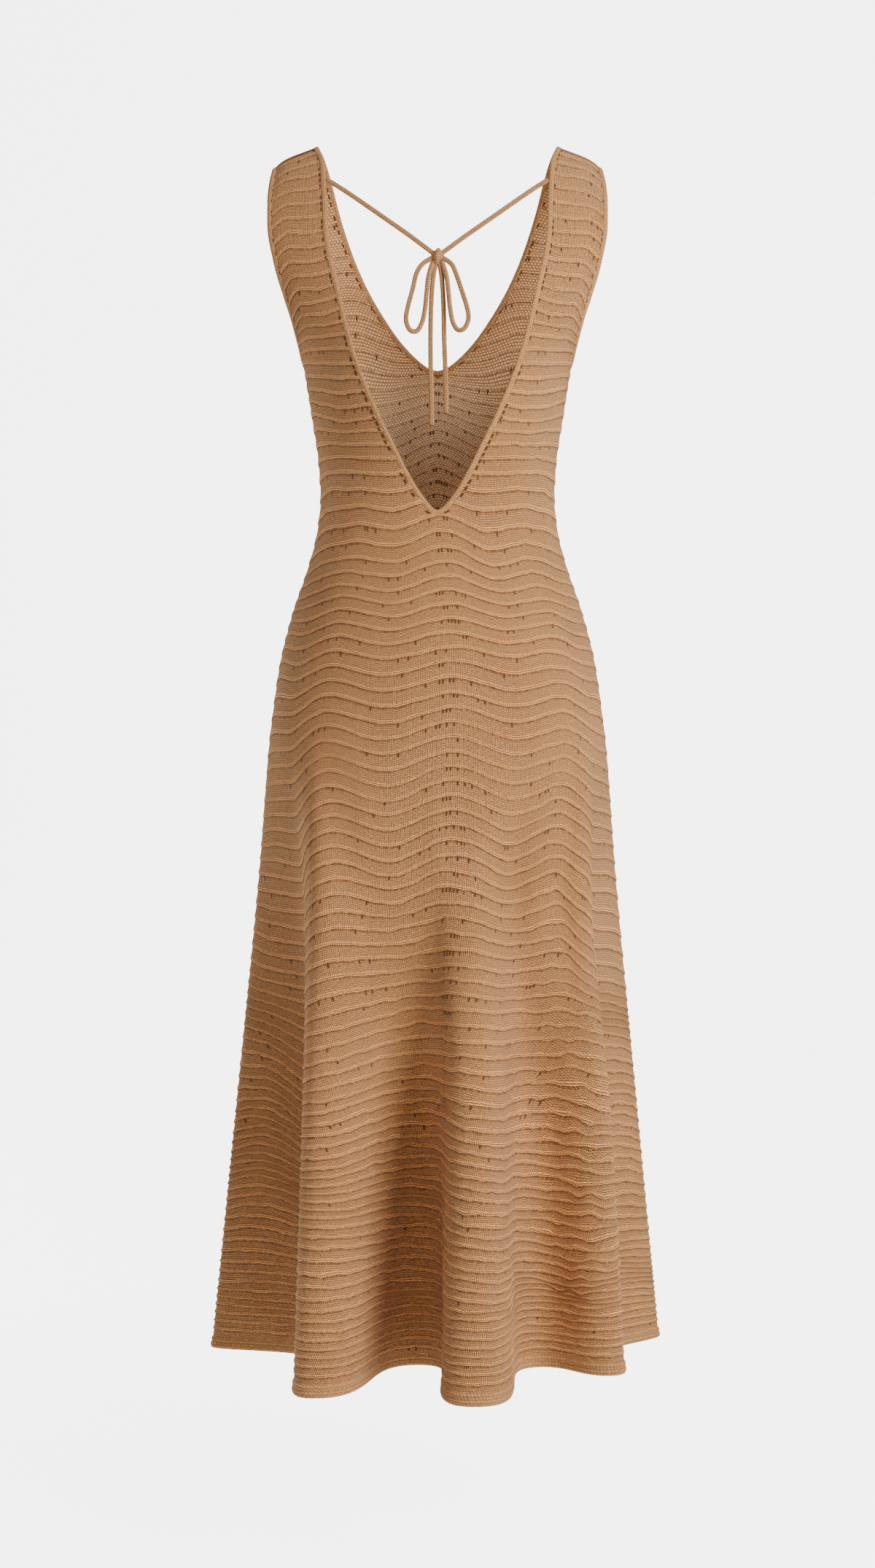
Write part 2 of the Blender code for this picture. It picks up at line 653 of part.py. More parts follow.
def armhole_path(side):
    """Path round an armhole: down the back edge, under the arm and up the front edge."""
    rows = [level for level, _ in outer_rows()]
    levels = [level for level in rows[1:] if level + wave(level, 90) > UNDERARM]
    underarm = rows[len(levels) + 1]
    top = surface(BACK, 0.0, side)
    top.y = 0.0
    low = surface(BACK, underarm, side)
    low.y = 0.0
    halves = []
    for panel in (BACK, FRONT):
        half = [(top, outward(BACK, 0.0, side), Vector((-side, 0, 0)))]
        for level in levels:
            point = surface(panel, level, side)
            towards = surface(panel, level, side * 0.97) - point
            half.append((point, outward(panel, level, side), towards))
        half.append((low, Vector((side, 0, 0)), Vector((0, 0, -1))))
        halves.append(thinned(half))
    return framed(halves[0] + halves[1][-2:0:-1], True)


def add_hem_band(panel, name, collection):
    """The hem's band of chain rows, hanging from the panel's lower edge."""
    mesh = bmesh.new()
    columns = sorted({0.0, *column_places(panel, HEM_SEAM)}, reverse=panel is FRONT)
    top = HEM_SEAM - SEAM_GAP
    height = top - HEM_EDGE
    outer = []
    for row in HEM_PROFILE:
        level = top - row["down"] * height
        outer.append([mesh.verts.new(surface(panel, level, q)
                                     + outward(panel, level, q) * row["out"]) for q in columns])
    inner = []
    for level in (HEM_EDGE, top):
        inner.append([mesh.verts.new(surface(panel, level, q)
                                     - outward(panel, level, q) * CLOTH) for q in columns])
    rows = outer + inner
    for row, following in zip(rows, rows[1:] + rows[:1]):
        for i in range(len(columns) - 1):
            mesh.faces.new((row[i], row[i + 1], following[i + 1], following[i]))
    for i in (0, -1):
        mesh.faces.new([row[i] for row in rows])
    bmesh.ops.triangulate(mesh, faces=[face for face in mesh.faces if len(face.verts) > 4])
    return finish(mesh, name, "edge", collection)


# ---------------------------------------------------------------- the tie

def route_points(route):
    """Evenly spaced points on a smooth curve through a cord's route."""
    fine = []
    points = [Vector(point) for point in route]
    padded = [points[0] * 2 - points[1]] + points + [points[-1] * 2 - points[-2]]
    per_span = 12
    for i in range(1, len(padded) - 2):
        p0, p1, p2, p3 = padded[i - 1:i + 3]
        for step in range(per_span):
            t = step / per_span
            fine.append(0.5 * (2 * p1 + (p2 - p0) * t + (2 * p0 - 5 * p1 + 4 * p2 - p3) * t * t
                               + (3 * p1 - p0 - 3 * p2 + p3) * t ** 3))
    fine.append(points[-1])
    travelled = [0.0]
    for a, b in zip(fine, fine[1:]):
        travelled.append(travelled[-1] + (b - a).length)
    count = max(int(round(travelled[-1] / CORD_POINT_SPACING)), 2)
    even = []
    for k in range(count + 1):
        goal = travelled[-1] * k / count
        i = min(bisect_right(travelled, goal) - 1, len(fine) - 2)
        share = (goal - travelled[i]) / (travelled[i + 1] - travelled[i])
        even.append(fine[i].lerp(fine[i + 1], min(share, 1.0)))
    return even


def add_cord(name, route, collection):
    curve = bpy.data.curves.new(name, "CURVE")
    curve.dimensions = "3D"
    curve.bevel_depth = CORD / 2
    curve.bevel_resolution = 2
    curve.use_fill_caps = True
    points = route_points(route)
    spline = curve.splines.new("POLY")
    spline.points.add(len(points) - 1)
    for target, point in zip(spline.points, points):
        target.co = (*point, 1.0)
    curve.materials.append(material("cord"))
    item = bpy.data.objects.new(name, curve)
    collection.objects.link(item)
    return item


def add_knot(collection):
    """The bow's knot: a small rounded lump."""
    mesh = bmesh.new()
    bmesh.ops.create_uvsphere(mesh, u_segments=10, v_segments=7, radius=1.0)
    for vertex in mesh.verts:
        vertex.co = Vector([c * r for c, r in zip(vertex.co, KNOT_RADII)]) + KNOT_CENTRE
    return finish(mesh, "tie_knot", "cord", collection)


# ---------------------------------------------------------------- the dress

for old in list(bpy.data.objects):
    bpy.data.objects.remove(old, do_unlink=True)
dress = bpy.data.collections.new(DRESS_NAME)
bpy.context.scene.collection.children.link(dress)

add_panel(BACK, dress)
add_panel(FRONT, dress)
add_trim("back_neck_trim", neck_trim_path(BACK), False, dress)
add_trim("front_neck_trim", neck_trim_path(FRONT), False, dress)
add_trim("armhole_trim_left", armhole_path(-1), True, dress)
add_trim("armhole_trim_right", armhole_path(1), True, dress)
add_hem_band(BACK, "hem_band_back", dress)
add_hem_band(FRONT, "hem_band_front", dress)
for cord_name, cord_route in TIE_ROUTES.items():
    add_cord(cord_name, cord_route, dress)
add_knot(dress)
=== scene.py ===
"""Looks of the sleeveless knitted midi dress: its stitched cloth, edgings, tie and studio."""

import bpy
import numpy as np
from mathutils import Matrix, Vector


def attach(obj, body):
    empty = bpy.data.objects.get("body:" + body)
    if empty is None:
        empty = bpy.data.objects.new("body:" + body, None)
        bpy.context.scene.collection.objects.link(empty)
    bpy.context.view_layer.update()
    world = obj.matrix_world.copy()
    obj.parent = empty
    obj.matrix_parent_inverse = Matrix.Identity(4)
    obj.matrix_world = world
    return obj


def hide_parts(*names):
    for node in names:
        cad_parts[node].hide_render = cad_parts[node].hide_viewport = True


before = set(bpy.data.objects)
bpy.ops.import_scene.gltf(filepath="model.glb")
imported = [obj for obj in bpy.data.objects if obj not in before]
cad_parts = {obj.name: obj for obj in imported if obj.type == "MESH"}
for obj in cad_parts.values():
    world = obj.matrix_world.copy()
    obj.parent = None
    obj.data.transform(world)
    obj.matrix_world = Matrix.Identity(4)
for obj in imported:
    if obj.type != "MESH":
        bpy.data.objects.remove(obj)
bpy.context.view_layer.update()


# ================ camera
# The dress is looked at from behind, level with its hips. The frame is a tall one that takes
# in 1.61 m of height at the middle of the dress.

CAMERA_DISTANCE = 2.5
CAMERA_LEVEL = -0.654
FRAME_HEIGHT = 1.6125
SENSOR_MM = 36.0


def placed(name, data):
    """A new object with this data, in the scene."""
    thing = bpy.data.objects.new(name, data)
    bpy.context.scene.collection.objects.link(thing)
    return thing


camera_data = bpy.data.cameras.new("camera")
camera_data.sensor_fit = "VERTICAL"
camera_data.sensor_height = SENSOR_MM
camera_data.lens = SENSOR_MM * CAMERA_DISTANCE / FRAME_HEIGHT
camera = placed("camera", camera_data)
camera.location = (0.0, -CAMERA_DISTANCE, CAMERA_LEVEL)
camera.rotation_euler = (np.pi / 2, 0.0, 0.0)
bpy.context.scene.camera = camera


# ================ meshes and materials
# Every piece is a grid of points that some function places. These helpers turn grids into
# meshes, and hold what more than one knitted surface shows: yarn, V stitches and purl.

def grid_faces(index, closed_rows=False, closed_columns=False):
    """Four-cornered faces between the rows and columns of a grid of point numbers."""
    if closed_rows:
        index = np.vstack([index, index[:1]])
    if closed_columns:
        index = np.hstack([index, index[:, :1]])
    corners = (index[:-1, :-1], index[:-1, 1:], index[1:, 1:], index[1:, :-1])
    return np.stack(corners, axis=-1).reshape(-1, 4)


def make_piece(name, points, faces, coordinates, materials, face_material=None, values=None):
    """A smooth mesh object. coordinates is a UV pair for each point, values further numbers."""
    points, coordinates = points.reshape(-1, 3), coordinates.reshape(-1, 2)
    used, faces = np.unique(faces, return_inverse=True)
    faces = faces.reshape(-1, 4)
    mesh = bpy.data.meshes.new(name)
    mesh.from_pydata(points[used].tolist(), [], faces.tolist())
    uv_map = mesh.uv_layers.new(name="stitches")
    corner_points = np.zeros(len(mesh.loops), dtype=np.int32)
    mesh.loops.foreach_get("vertex_index", corner_points)
    uv_map.data.foreach_set("uv", coordinates[used][corner_points].ravel().astype(np.float32))
    for value_name, value in (values or {}).items():
        attribute = mesh.attributes.new(value_name, "FLOAT", "POINT")
        attribute.data.foreach_set("value", value[used].astype(np.float32))
    for material in materials:
        mesh.materials.append(material)
    if face_material is not None:
        mesh.polygons.foreach_set("material_index", face_material.astype(np.int32))
    mesh.shade_smooth()
    return placed(name, mesh)


def numbered(grid):
    """A number for each point of a grid."""
    return np.arange(grid.shape[0] * grid.shape[1]).reshape(grid.shape[:2])


class Value:
    """A number inside a material. It is reckoned with like any other number."""

    def __init__(self, nodes, socket):
        self.nodes = nodes
        self.socket = socket

    def __add__(self, other):
        return self.nodes.math("ADD", self, other)

    def __sub__(self, other):
        return self.nodes.math("SUBTRACT", self, other)

    def __mul__(self, other):
        return self.nodes.math("MULTIPLY", self, other)

    def __truediv__(self, other):
        return self.nodes.math("DIVIDE", self, other)


class Nodes:
    """Short calls for putting a node tree together."""

    def __init__(self, tree):
        self.tree = tree

    def feed(self, socket, value):
        if isinstance(value, Value):
            self.tree.links.new(value.socket, socket)
        else:
            socket.default_value = value

    def add(self, kind, inputs=(), output=0, **settings):
        """A new node whose inputs are given in order or by name. Returns one of its outputs."""
        node = self.tree.nodes.new(kind)
        for setting, value in settings.items():
            setattr(node, setting, value)
        for key, value in inputs.items() if isinstance(inputs, dict) else enumerate(inputs):
            self.feed(node.inputs[key], value)
        return Value(self, node.outputs[output])

    def math(self, operation, *values):
        return self.add("ShaderNodeMath", values, operation=operation)

    def times_plus(self, value, factor, offset):
        return self.math("MULTIPLY_ADD", value, factor, offset)

    def ramp(self, value, low, high, to_low=0.0, to_high=1.0):
        """A value taken smoothly from one range to another."""
        return self.add("ShaderNodeMapRange", (value, low, high, to_low, to_high),
                        interpolation_type="SMOOTHSTEP")

    def mix(self, share, first, second, blend="MIX"):
        return self.add("ShaderNodeMix", {"Factor": share, 6: first, 7: second}, 2,
                        data_type="RGBA", blend_type=blend)

    def noise(self, vector, scale, detail=2.0):
        return self.add("ShaderNodeTexNoise",
                        {"Vector": vector, "Scale": scale, "Detail": detail}, "Fac")

    def join(self, x, y):
        return self.add("ShaderNodeCombineXYZ", (x, y))

    def group(self, tree, **inputs):
        """The outputs of a node group by their names."""
        node = self.tree.nodes.new("ShaderNodeGroup")
        node.node_tree = tree
        for name, value in inputs.items():
            self.feed(node.inputs[name.replace("_", " ")], value)
        return {output.name: Value(self, output) for output in node.outputs}


def new_group(name, inputs, outputs, output_kind="NodeSocketFloat"):
    """An empty node group with its inputs. An input is a number, or four for a colour."""
    tree = bpy.data.node_groups.new(name, "ShaderNodeTree")
    for socket_name, default in inputs.items():
        kind = "NodeSocketColor" if isinstance(default, tuple) else "NodeSocketFloat"
        socket = tree.interface.new_socket(socket_name, in_out="INPUT", socket_type=kind)
        socket.default_value = default
    for socket_name in outputs:
        tree.interface.new_socket(socket_name, in_out="OUTPUT", socket_type=output_kind)
    nodes = Nodes(tree)
    given = [Value(nodes, output) for output in tree.nodes.new("NodeGroupInput").outputs]
    return nodes, given[:len(inputs)], tree.nodes.new("NodeGroupOutput").inputs


STITCH_WIDTH = 0.0034
STITCH_HEIGHT = 0.0017


def stocking_stitch():
    """Columns of V stitches. Along runs across the columns and Down runs down them, in metres."""
    nodes, (along, down, width, height, unevenness), result = new_group(
        "stocking_stitch", {"Along": 0.0, "Down": 0.0, "Stitch width": STITCH_WIDTH,
                            "Stitch height": STITCH_HEIGHT, "Unevenness": 0.45}, ["Height"])
    drift = (nodes.noise(nodes.join(along, down), 160.0) - 0.5) * unevenness
    column = along / width + drift
    off_centre = nodes.math("ABSOLUTE", nodes.math("FRACT", column) - 0.5)
    slanted = nodes.times_plus(off_centre, -1.1, down / height)
    slanted = nodes.times_plus(drift, 1.6, slanted)
    leg = nodes.math("SINE", nodes.math("FRACT", slanted) * np.pi)
    leg = nodes.math("POWER", leg, 1.1)
    across = nodes.times_plus(off_centre, 4.0, -1.0)
    across = nodes.math("SUBTRACT", 1.0, across * across)
    across = nodes.math("POWER", nodes.math("MAXIMUM", across, 0.0), 0.6)
    nodes.feed(result["Height"], leg * across)
    return nodes.tree


def purl_stitch():
    """Rows of small rounded bumps, as the wrong side of the knitting shows."""
    nodes, (along, down, width, height), result = new_group(
        "purl_stitch", {"Along": 0.0, "Down": 0.0, "Stitch width": STITCH_WIDTH,
                        "Stitch height": STITCH_HEIGHT}, ["Height"])
    row = down / height
    column = along / width + nodes.math("FLOOR", row) * 0.5
    bow = nodes.math("SINE", nodes.math("FRACT", column) * np.pi)
    lift = nodes.times_plus(bow, 0.20, row)
    bump = nodes.math("SINE", nodes.math("FRACT", lift) * np.pi)
    nodes.feed(result["Height"], bump * nodes.times_plus(bow, 0.95, 0.05))
    return nodes.tree


def yarn_colour_and_shade():
    """Yarn with soft random clouds and speckles, and painted light and shade: a painted highlight
    on top of each stitch and painted shade between stitches.
    """
    nodes, (colour, along, down, height, shading_contrast), result = new_group(
        "yarn_colour_and_shade", {"Colour": (0.5, 0.3, 0.15, 1.0), "Along": 0.0, "Down": 0.0,
                        "Height": 0.0, "Contrast": 0.8}, ["Colour"], "NodeSocketColor")
    place = nodes.join(along, down)
    cloud = nodes.times_plus(nodes.noise(place, 9.0, 3.0), 0.30, 0.85)
    speckle = nodes.times_plus(nodes.noise(place, 380.0), 0.90, 0.55)
    # Painted highlight and painted shade: the colour rises on stitch tops and falls in the gaps,
    # following the stitch height.
    light = cloud * speckle * nodes.times_plus(height - 0.45, shading_contrast, 1.0)
    # These powers make the painted shade more orange and the painted highlight paler.
    powers = (light, nodes.math("POWER", light, 1.08), nodes.math("POWER", light, 1.18))
    shade = nodes.add("ShaderNodeCombineXYZ", powers)
    nodes.feed(result["Colour"], nodes.mix(1.0, colour, shade, "MULTIPLY"))
    return nodes.tree


STOCKING = stocking_stitch()
PURL = purl_stitch()
YARN = yarn_colour_and_shade()


def new_material(name, **settings):
    """A material, the calls for its nodes, and its shader with these settings."""
    material = bpy.data.materials.new(name)
    material.use_nodes = True
    shader = material.node_tree.nodes["Principled BSDF"]
    for setting, value in settings.items():
        shader.inputs[setting.replace("_", " ")].default_value = value
    return material, Nodes(material.node_tree), shader


def yarn_material(name):
    """A yarn material, matt with the sheen of loose fibres, and the two ways of its UV map."""
    material, nodes, shader = new_material(
        name, Roughness=0.95, Specular_IOR_Level=0.15, Sheen_Weight=0.24,
        Sheen_Roughness=0.45, Sheen_Tint=(1.0, 0.82, 0.62, 1.0))
    place = nodes.add("ShaderNodeUVMap", uv_map="stitches")
    along, down = [nodes.add("ShaderNodeSeparateXYZ", (place,), axis) for axis in "XY"]
    return material, nodes, shader, along, down


def finish_yarn(nodes, shader, colour, height, depth):
    """Gives a yarn material its colour and the relief of its stitches."""
    nodes.feed(shader.inputs["Base Color"], colour)
    bump = nodes.add("ShaderNodeBump", {"Distance": depth, "Height": height})
    nodes.feed(shader.inputs["Normal"], bump)


def stitched_material(name, colour, stitch_tree, stitch_width, stitch_height, depth, shading_contrast):
    """Yarn in one plain stitch, laid by the piece's own UV map."""
    material, nodes, shader, along, down = yarn_material(name)
    stitch = nodes.group(stitch_tree, Along=along, Down=down, Stitch_width=stitch_width,
                         Stitch_height=stitch_height)
    # The yarn's colour carries a painted highlight on the stitch tops and painted shade between
    # them.
    yarn = nodes.group(YARN, Colour=colour, Along=along, Down=down,
                       Height=stitch["Height"], Contrast=shading_contrast)
    finish_yarn(nodes, shader, yarn["Colour"], stitch["Height"], depth)
    return material


# ================ tie
# The tie is a thin round cord, knitted in a tube so that small V stitches run along it. One
# length comes from each strap, they are tied in a bow, and two plain ends hang down.

CORD = 0.0052
ROLL_SIDES = 14             # corners round a cord or an edging
CORD_STEP = 0.0007
CORD_STITCH = 0.0023
CORD_RELIEF = 0.00018
KNOT_CENTRE = np.array((0.0, -0.0560, -0.1235))
KNOT_RADII = np.array((0.0066, 0.0052, 0.0064))
KNOT_WRAP = 0.0028          # half the thickness of the turn of cord over the knot
KNOT_REACH = (0.0010, 0.0056, 0.0060)   # sideways, out and up
TUCKED_IN = 0.0030          # how far a cord's end goes on into the knot

TIE_ROUTES = {
    "tie_cord_left": [
        (-0.1117, -0.0398, -0.0426), (-0.0990, -0.0422, -0.0508), (-0.0845, -0.0450, -0.0610),
        (-0.0660, -0.0482, -0.0744), (-0.0470, -0.0514, -0.0883), (-0.0280, -0.0540, -0.1022),
        (-0.0140, -0.0555, -0.1130), (-0.0054, -0.0560, -0.1196),
    ],
    "tie_cord_right": [
        (0.1117, -0.0398, -0.0426), (0.0990, -0.0422, -0.0510), (0.0845, -0.0450, -0.0614),
        (0.0660, -0.0482, -0.0750), (0.0470, -0.0514, -0.0889), (0.0280, -0.0540, -0.1027),
        (0.0140, -0.0555, -0.1132), (0.0054, -0.0560, -0.1196),
    ],
    "tie_loop_left": [
        (-0.0071, -0.0568, -0.1249), (-0.0150, -0.0588, -0.1318), (-0.0212, -0.0606, -0.1420),
        (-0.0250, -0.0620, -0.1580), (-0.0298, -0.0628, -0.1760), (-0.0316, -0.0630, -0.1890),
        (-0.0276, -0.0628, -0.1988), (-0.0208, -0.0624, -0.1996), (-0.0155, -0.0618, -0.1910),
        (-0.0125, -0.0612, -0.1770), (-0.0108, -0.0602, -0.1600), (-0.0090, -0.0590, -0.1440),
        (-0.0064, -0.0579, -0.1302),
    ],
    "tie_loop_right": [
        (0.0072, -0.0568, -0.1248), (0.0140, -0.0588, -0.1318), (0.0186, -0.0606, -0.1420),
        (0.0240, -0.0620, -0.1580), (0.0296, -0.0628, -0.1760), (0.0310, -0.0630, -0.1880),
        (0.0266, -0.0628, -0.1974), (0.0200, -0.0624, -0.1982), (0.0152, -0.0618, -0.1900),
        (0.0126, -0.0612, -0.1760), (0.0110, -0.0602, -0.1600), (0.0090, -0.0590, -0.1440),
        (0.0065, -0.0580, -0.1309),
    ],
    "tie_tail_left": [
        (-0.0021, -0.0560, -0.1301), (-0.0036, -0.0558, -0.1400), (-0.0054, -0.0556, -0.1560),
        (-0.0066, -0.0554, -0.1800), (-0.0070, -0.0552, -0.2080), (-0.0068, -0.0550, -0.2360),
        (-0.0062, -0.0550, -0.2640), (-0.0058, -0.0550, -0.2935),
    ],
    "tie_tail_right": [
        (0.0021, -0.0560, -0.1301), (0.0036, -0.0558, -0.1400), (0.0052, -0.0556, -0.1560),
        (0.0062, -0.0554, -0.1800), (0.0068, -0.0552, -0.2080), (0.0078, -0.0550, -0.2340),
        (0.0086, -0.0550, -0.2600), (0.0084, -0.0550, -0.2815),
    ],
}
CORD_COLOUR = (0.580, 0.300, 0.130, 1.0)


def unit(vectors):
    """The same directions with length one."""
    return vectors / np.maximum(np.linalg.norm(vectors, axis=-1, keepdims=True), 1e-12)


def full_turn(count):
    """Angles that divide a full turn evenly."""
    return np.linspace(0.0, 2 * np.pi, count, endpoint=False)


def turned_in(rows):
    """Rows or columns with the first and last one twice, for an edge that turns in."""
    return np.concatenate([rows[:1], rows, rows[-1:]])


def travelled(points):
    """How far along its line each point lies, for one line or for a stack of them."""
    steps = np.linalg.norm(np.diff(points, axis=-2), axis=-1)
    return np.concatenate([np.zeros_like(steps[..., :1]), np.cumsum(steps, axis=-1)], axis=-1)


def read_along(values, distances, places):
    """Points or directions that are given at distances along a line, read at other places."""
    return np.stack([np.interp(places, distances, values[:, k]) for k in range(3)], 1)


def laid(along, down, grid):
    """The UV pair of each point of a grid: how far round or along it lies, and how far down."""
    return np.stack([np.broadcast_to(values, grid.shape[:2]) for values in (along, down)], -1)


def stand_for(piece, node):
    """The piece rides on the one body and is seen in place of a node of the solids."""
    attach(piece, "root")
    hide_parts(node)


def resampled(points, step):
    """Points a step apart along a line, and how far along it each lies."""
    distances = travelled(points)
    count = max(int(round(distances[-1] / step)), 2)
    places = np.linspace(0.0, distances[-1], count + 1)
    return read_along(points, distances, places), places


def smooth_route(given, step):
    """Points a step apart on a smooth curve through the given points."""
    padded = np.vstack([2 * given[0] - given[1], given, 2 * given[-1] - given[-2]])
    t = np.linspace(0.0, 1.0, 24, endpoint=False)[:, None]
    spans = []
    for p0, p1, p2, p3 in zip(padded, padded[1:], padded[2:], padded[3:]):
        spans.append(0.5 * (2 * p1 + (p2 - p0) * t + (2 * p0 - 5 * p1 + 4 * p2 - p3) * t * t
                            + (3 * p1 - p0 - 3 * p2 + p3) * t ** 3))
    return resampled(np.vstack(spans + [given[-1:]]), step)


def carried_frame(points):
    """Two directions square to a line at each of its points, turned as little as possible."""
    runs = unit(np.gradient(points, axis=0))
    outs = []
    out = np.array((0.0, -1.0, 0.0))
    for run in runs:
        out = out - run * np.dot(out, run)
        out = out / np.linalg.norm(out)
        outs.append(out)
    outs = np.array(outs)
    return outs, np.cross(runs, outs)


def stitch_relief(turn, places, columns, stitch, slant):
    """How far V stitches stand up, from -1 to 1, at each place along a roll and round it."""
    column = np.abs((turn / (2 * np.pi) * columns) % 1.0 - 0.5)
    phase = places[:, None] / stitch - column * slant
    return np.sin(2 * np.pi * phase) * (1.0 - (4 * column - 1) ** 2)


def ringed(line, first, second, x, y):
    """Rings of points round a line, x along the first direction and y along the second."""
    return line[:, None] + first[:, None] * x[..., None] + second[:, None] * y[..., None]


def cord_rings(points, places, radius):
    """Rings of points round a knitted cord, with the relief of its V stitches."""
    outs, sides = carried_frame(points)
    turn = full_turn(ROLL_SIDES)
    size = radius + CORD_RELIEF * (stitch_relief(turn, places, 4.0, CORD_STITCH, 1.4) - 0.4)
    return ringed(points, outs, sides, np.cos(turn) * size, np.sin(turn) * size), turn


def closed_tube(rings, places):
    """Points and faces of a tube with rounded ends, and how far along it each ring lies."""
    middles = rings.mean(axis=1, keepdims=True)
    first_cap = middles[:1] + (rings[:1] - middles[:1]) * np.array((0.05, 0.6))[:, None, None]
    last_cap = middles[-1:] + (rings[-1:] - middles[-1:]) * np.array((0.6, 0.05))[:, None, None]
    rings = np.concatenate([first_cap, rings, last_cap])
    return (rings, grid_faces(numbered(rings), closed_columns=True),
            turned_in(turned_in(places))[:, None])


def tucked_route(route, at_start, at_end):
    """A route whose ends at the knot run on a little way into it."""
    tucked = np.array(route)
    for end, at_knot in ((0, at_start), (-1, at_end)):
        if at_knot:
            tucked[end] += TUCKED_IN * unit(KNOT_CENTRE - tucked[end])
    return tucked


def knitted_tube(name, points, places, radius, material):
    """A length of knitted cord along a line."""
    rings, turn = cord_rings(points, places, radius)
    rings, faces, down = closed_tube(rings, places)
    return make_piece(name, rings, faces, laid(turn * radius, down, rings), [material])


def knot_piece(material):
    """The knot: a short turn of cord over the front of a small tight lump."""
    turn = np.linspace(0.12 * np.pi, 0.92 * np.pi, 28)[:, None]
    arc = KNOT_CENTRE + KNOT_REACH * np.hstack([np.cos(turn), -np.sin(turn), np.cos(turn)])
    arc, places = resampled(arc, CORD_STEP / 2)
    rings, _ = cord_rings(arc, places, KNOT_WRAP)
    rings, faces, _ = closed_tube(rings, places)
    polar = np.linspace(0.02, np.pi - 0.02, 26)
    azimuth = full_turn(36)
    ball = np.stack([np.outer(np.sin(polar), np.cos(azimuth)),
                     np.outer(np.sin(polar), np.sin(azimuth)),
                     np.outer(np.cos(polar), np.ones_like(azimuth))], -1)
    crease = 1.0 + 0.05 * np.outer(np.sin(polar), np.sin(azimuth * 5))[..., None]
    ball = KNOT_CENTRE + ball * KNOT_RADII * crease
    ball_faces = grid_faces(numbered(ball), closed_columns=True)[:, ::-1]
    points = np.vstack([rings.reshape(-1, 3), ball.reshape(-1, 3)])
    faces = np.vstack([faces, ball_faces + rings.shape[0] * rings.shape[1]])
    coordinates = np.stack([points[:, 0] + points[:, 1], points[:, 2]], 1)
    return make_piece("tie_knot_cord", points, faces, coordinates, [material])


cord_material = stitched_material("knitted_cord", CORD_COLOUR, STOCKING, STITCH_WIDTH,
                                  CORD_STITCH, 0.0005, 1.0)
knot = knot_piece(cord_material)
stand_for(knot, "tie_knot")
for node, route in TIE_ROUTES.items():
    kind = node.rsplit("_", 1)[0]
    run = tucked_route(route, kind != "tie_cord", kind != "tie_tail")
    line, line_places = smooth_route(run, CORD_STEP)
    cord = knitted_tube(node + "_knit", line, line_places, CORD / 2, cord_material)
    stand_for(cord, node)


# ================ the dress's form
# The cloth hangs in the form of a body: smooth over chest, waist and hips, and in soft deep
# folds from the thighs down. A place on a panel is a level, which counts down the rows of the
# knitting, and q, which runs from -1 at its left edge to 1 at its right one.

WELT = 0.0010               # how far a welt stands out
CLOTH = 0.0015              # how thick the cloth is
SEAM_LAP = 0.0008           # how far the panels lie over each other at the sewn side seams
UNDERARM = -0.226
FOLD_START = -0.600
SMOOTH_ABOVE_FOLDS = 0.10
HEM_SEAM = -1.2235
HEM_EDGE = -1.2355
SHOULDER_DROP = 0.0145
CORNER_DROP = 0.0050
DROP_FADE = 0.120

# The body above the folds: half its width, its depth to the back and to the front, and the
# angle from the middle at which the panels end, at the armhole or the side seam.
SECTIONS = {
    "level": (0.000, -0.010, -0.025, -0.050, -0.085, -0.130, -0.180, -0.210, -0.221, UNDERARM,
              -0.280, -0.325, -0.360, -0.395, -0.430, -0.480, -0.530, -0.600),
    "width": (0.1660, 0.1670, 0.1685, 0.1695, 0.1690, 0.1620, 0.1475, 0.1403, 0.1382, 0.1373,
              0.1285, 0.1220, 0.1200, 0.1235, 0.1323, 0.1490, 0.1615, 0.1715),
    "back": (0.000, 0.014, 0.031, 0.052, 0.071, 0.088, 0.101, 0.106, 0.107, 0.108,
             0.107, 0.101, 0.096, 0.095, 0.099, 0.109, 0.118, 0.126),
    "front": (0.000, 0.012, 0.027, 0.049, 0.071, 0.092, 0.108, 0.115, 0.117, 0.118,
              0.117, 0.108, 0.100, 0.098, 0.101, 0.107, 0.113, 0.119),
    "edge_deg": (60, 58, 56, 54, 54, 57, 66, 76, 83, 90, 90, 90, 90, 90, 90, 90, 90, 90),
}
# Half the gap between the two sides of each V neck.
BACK_NECK = {
    "level": (0.0000, -0.0210, -0.0600, -0.1030, -0.1660, -0.2220, -0.2760, -0.3290, -0.3550,
              -0.3740, -0.3840, -0.3872),
    "half_gap": (0.1265, 0.1195, 0.1158, 0.1133, 0.1006, 0.0868, 0.0668, 0.0416, 0.0283,
                 0.0157, 0.0065, 0.0),
}
FRONT_NECK = {
    "level": (0.0000, -0.0110, -0.0310, -0.0600, -0.0950, -0.1310, -0.1690, -0.1885, -0.2075,
              -0.2120, -0.2139),
    "half_gap": (0.1265, 0.1210, 0.1145, 0.1065, 0.0942, 0.0775, 0.0535, 0.0378, 0.0165,
                 0.0080, 0.0),
}
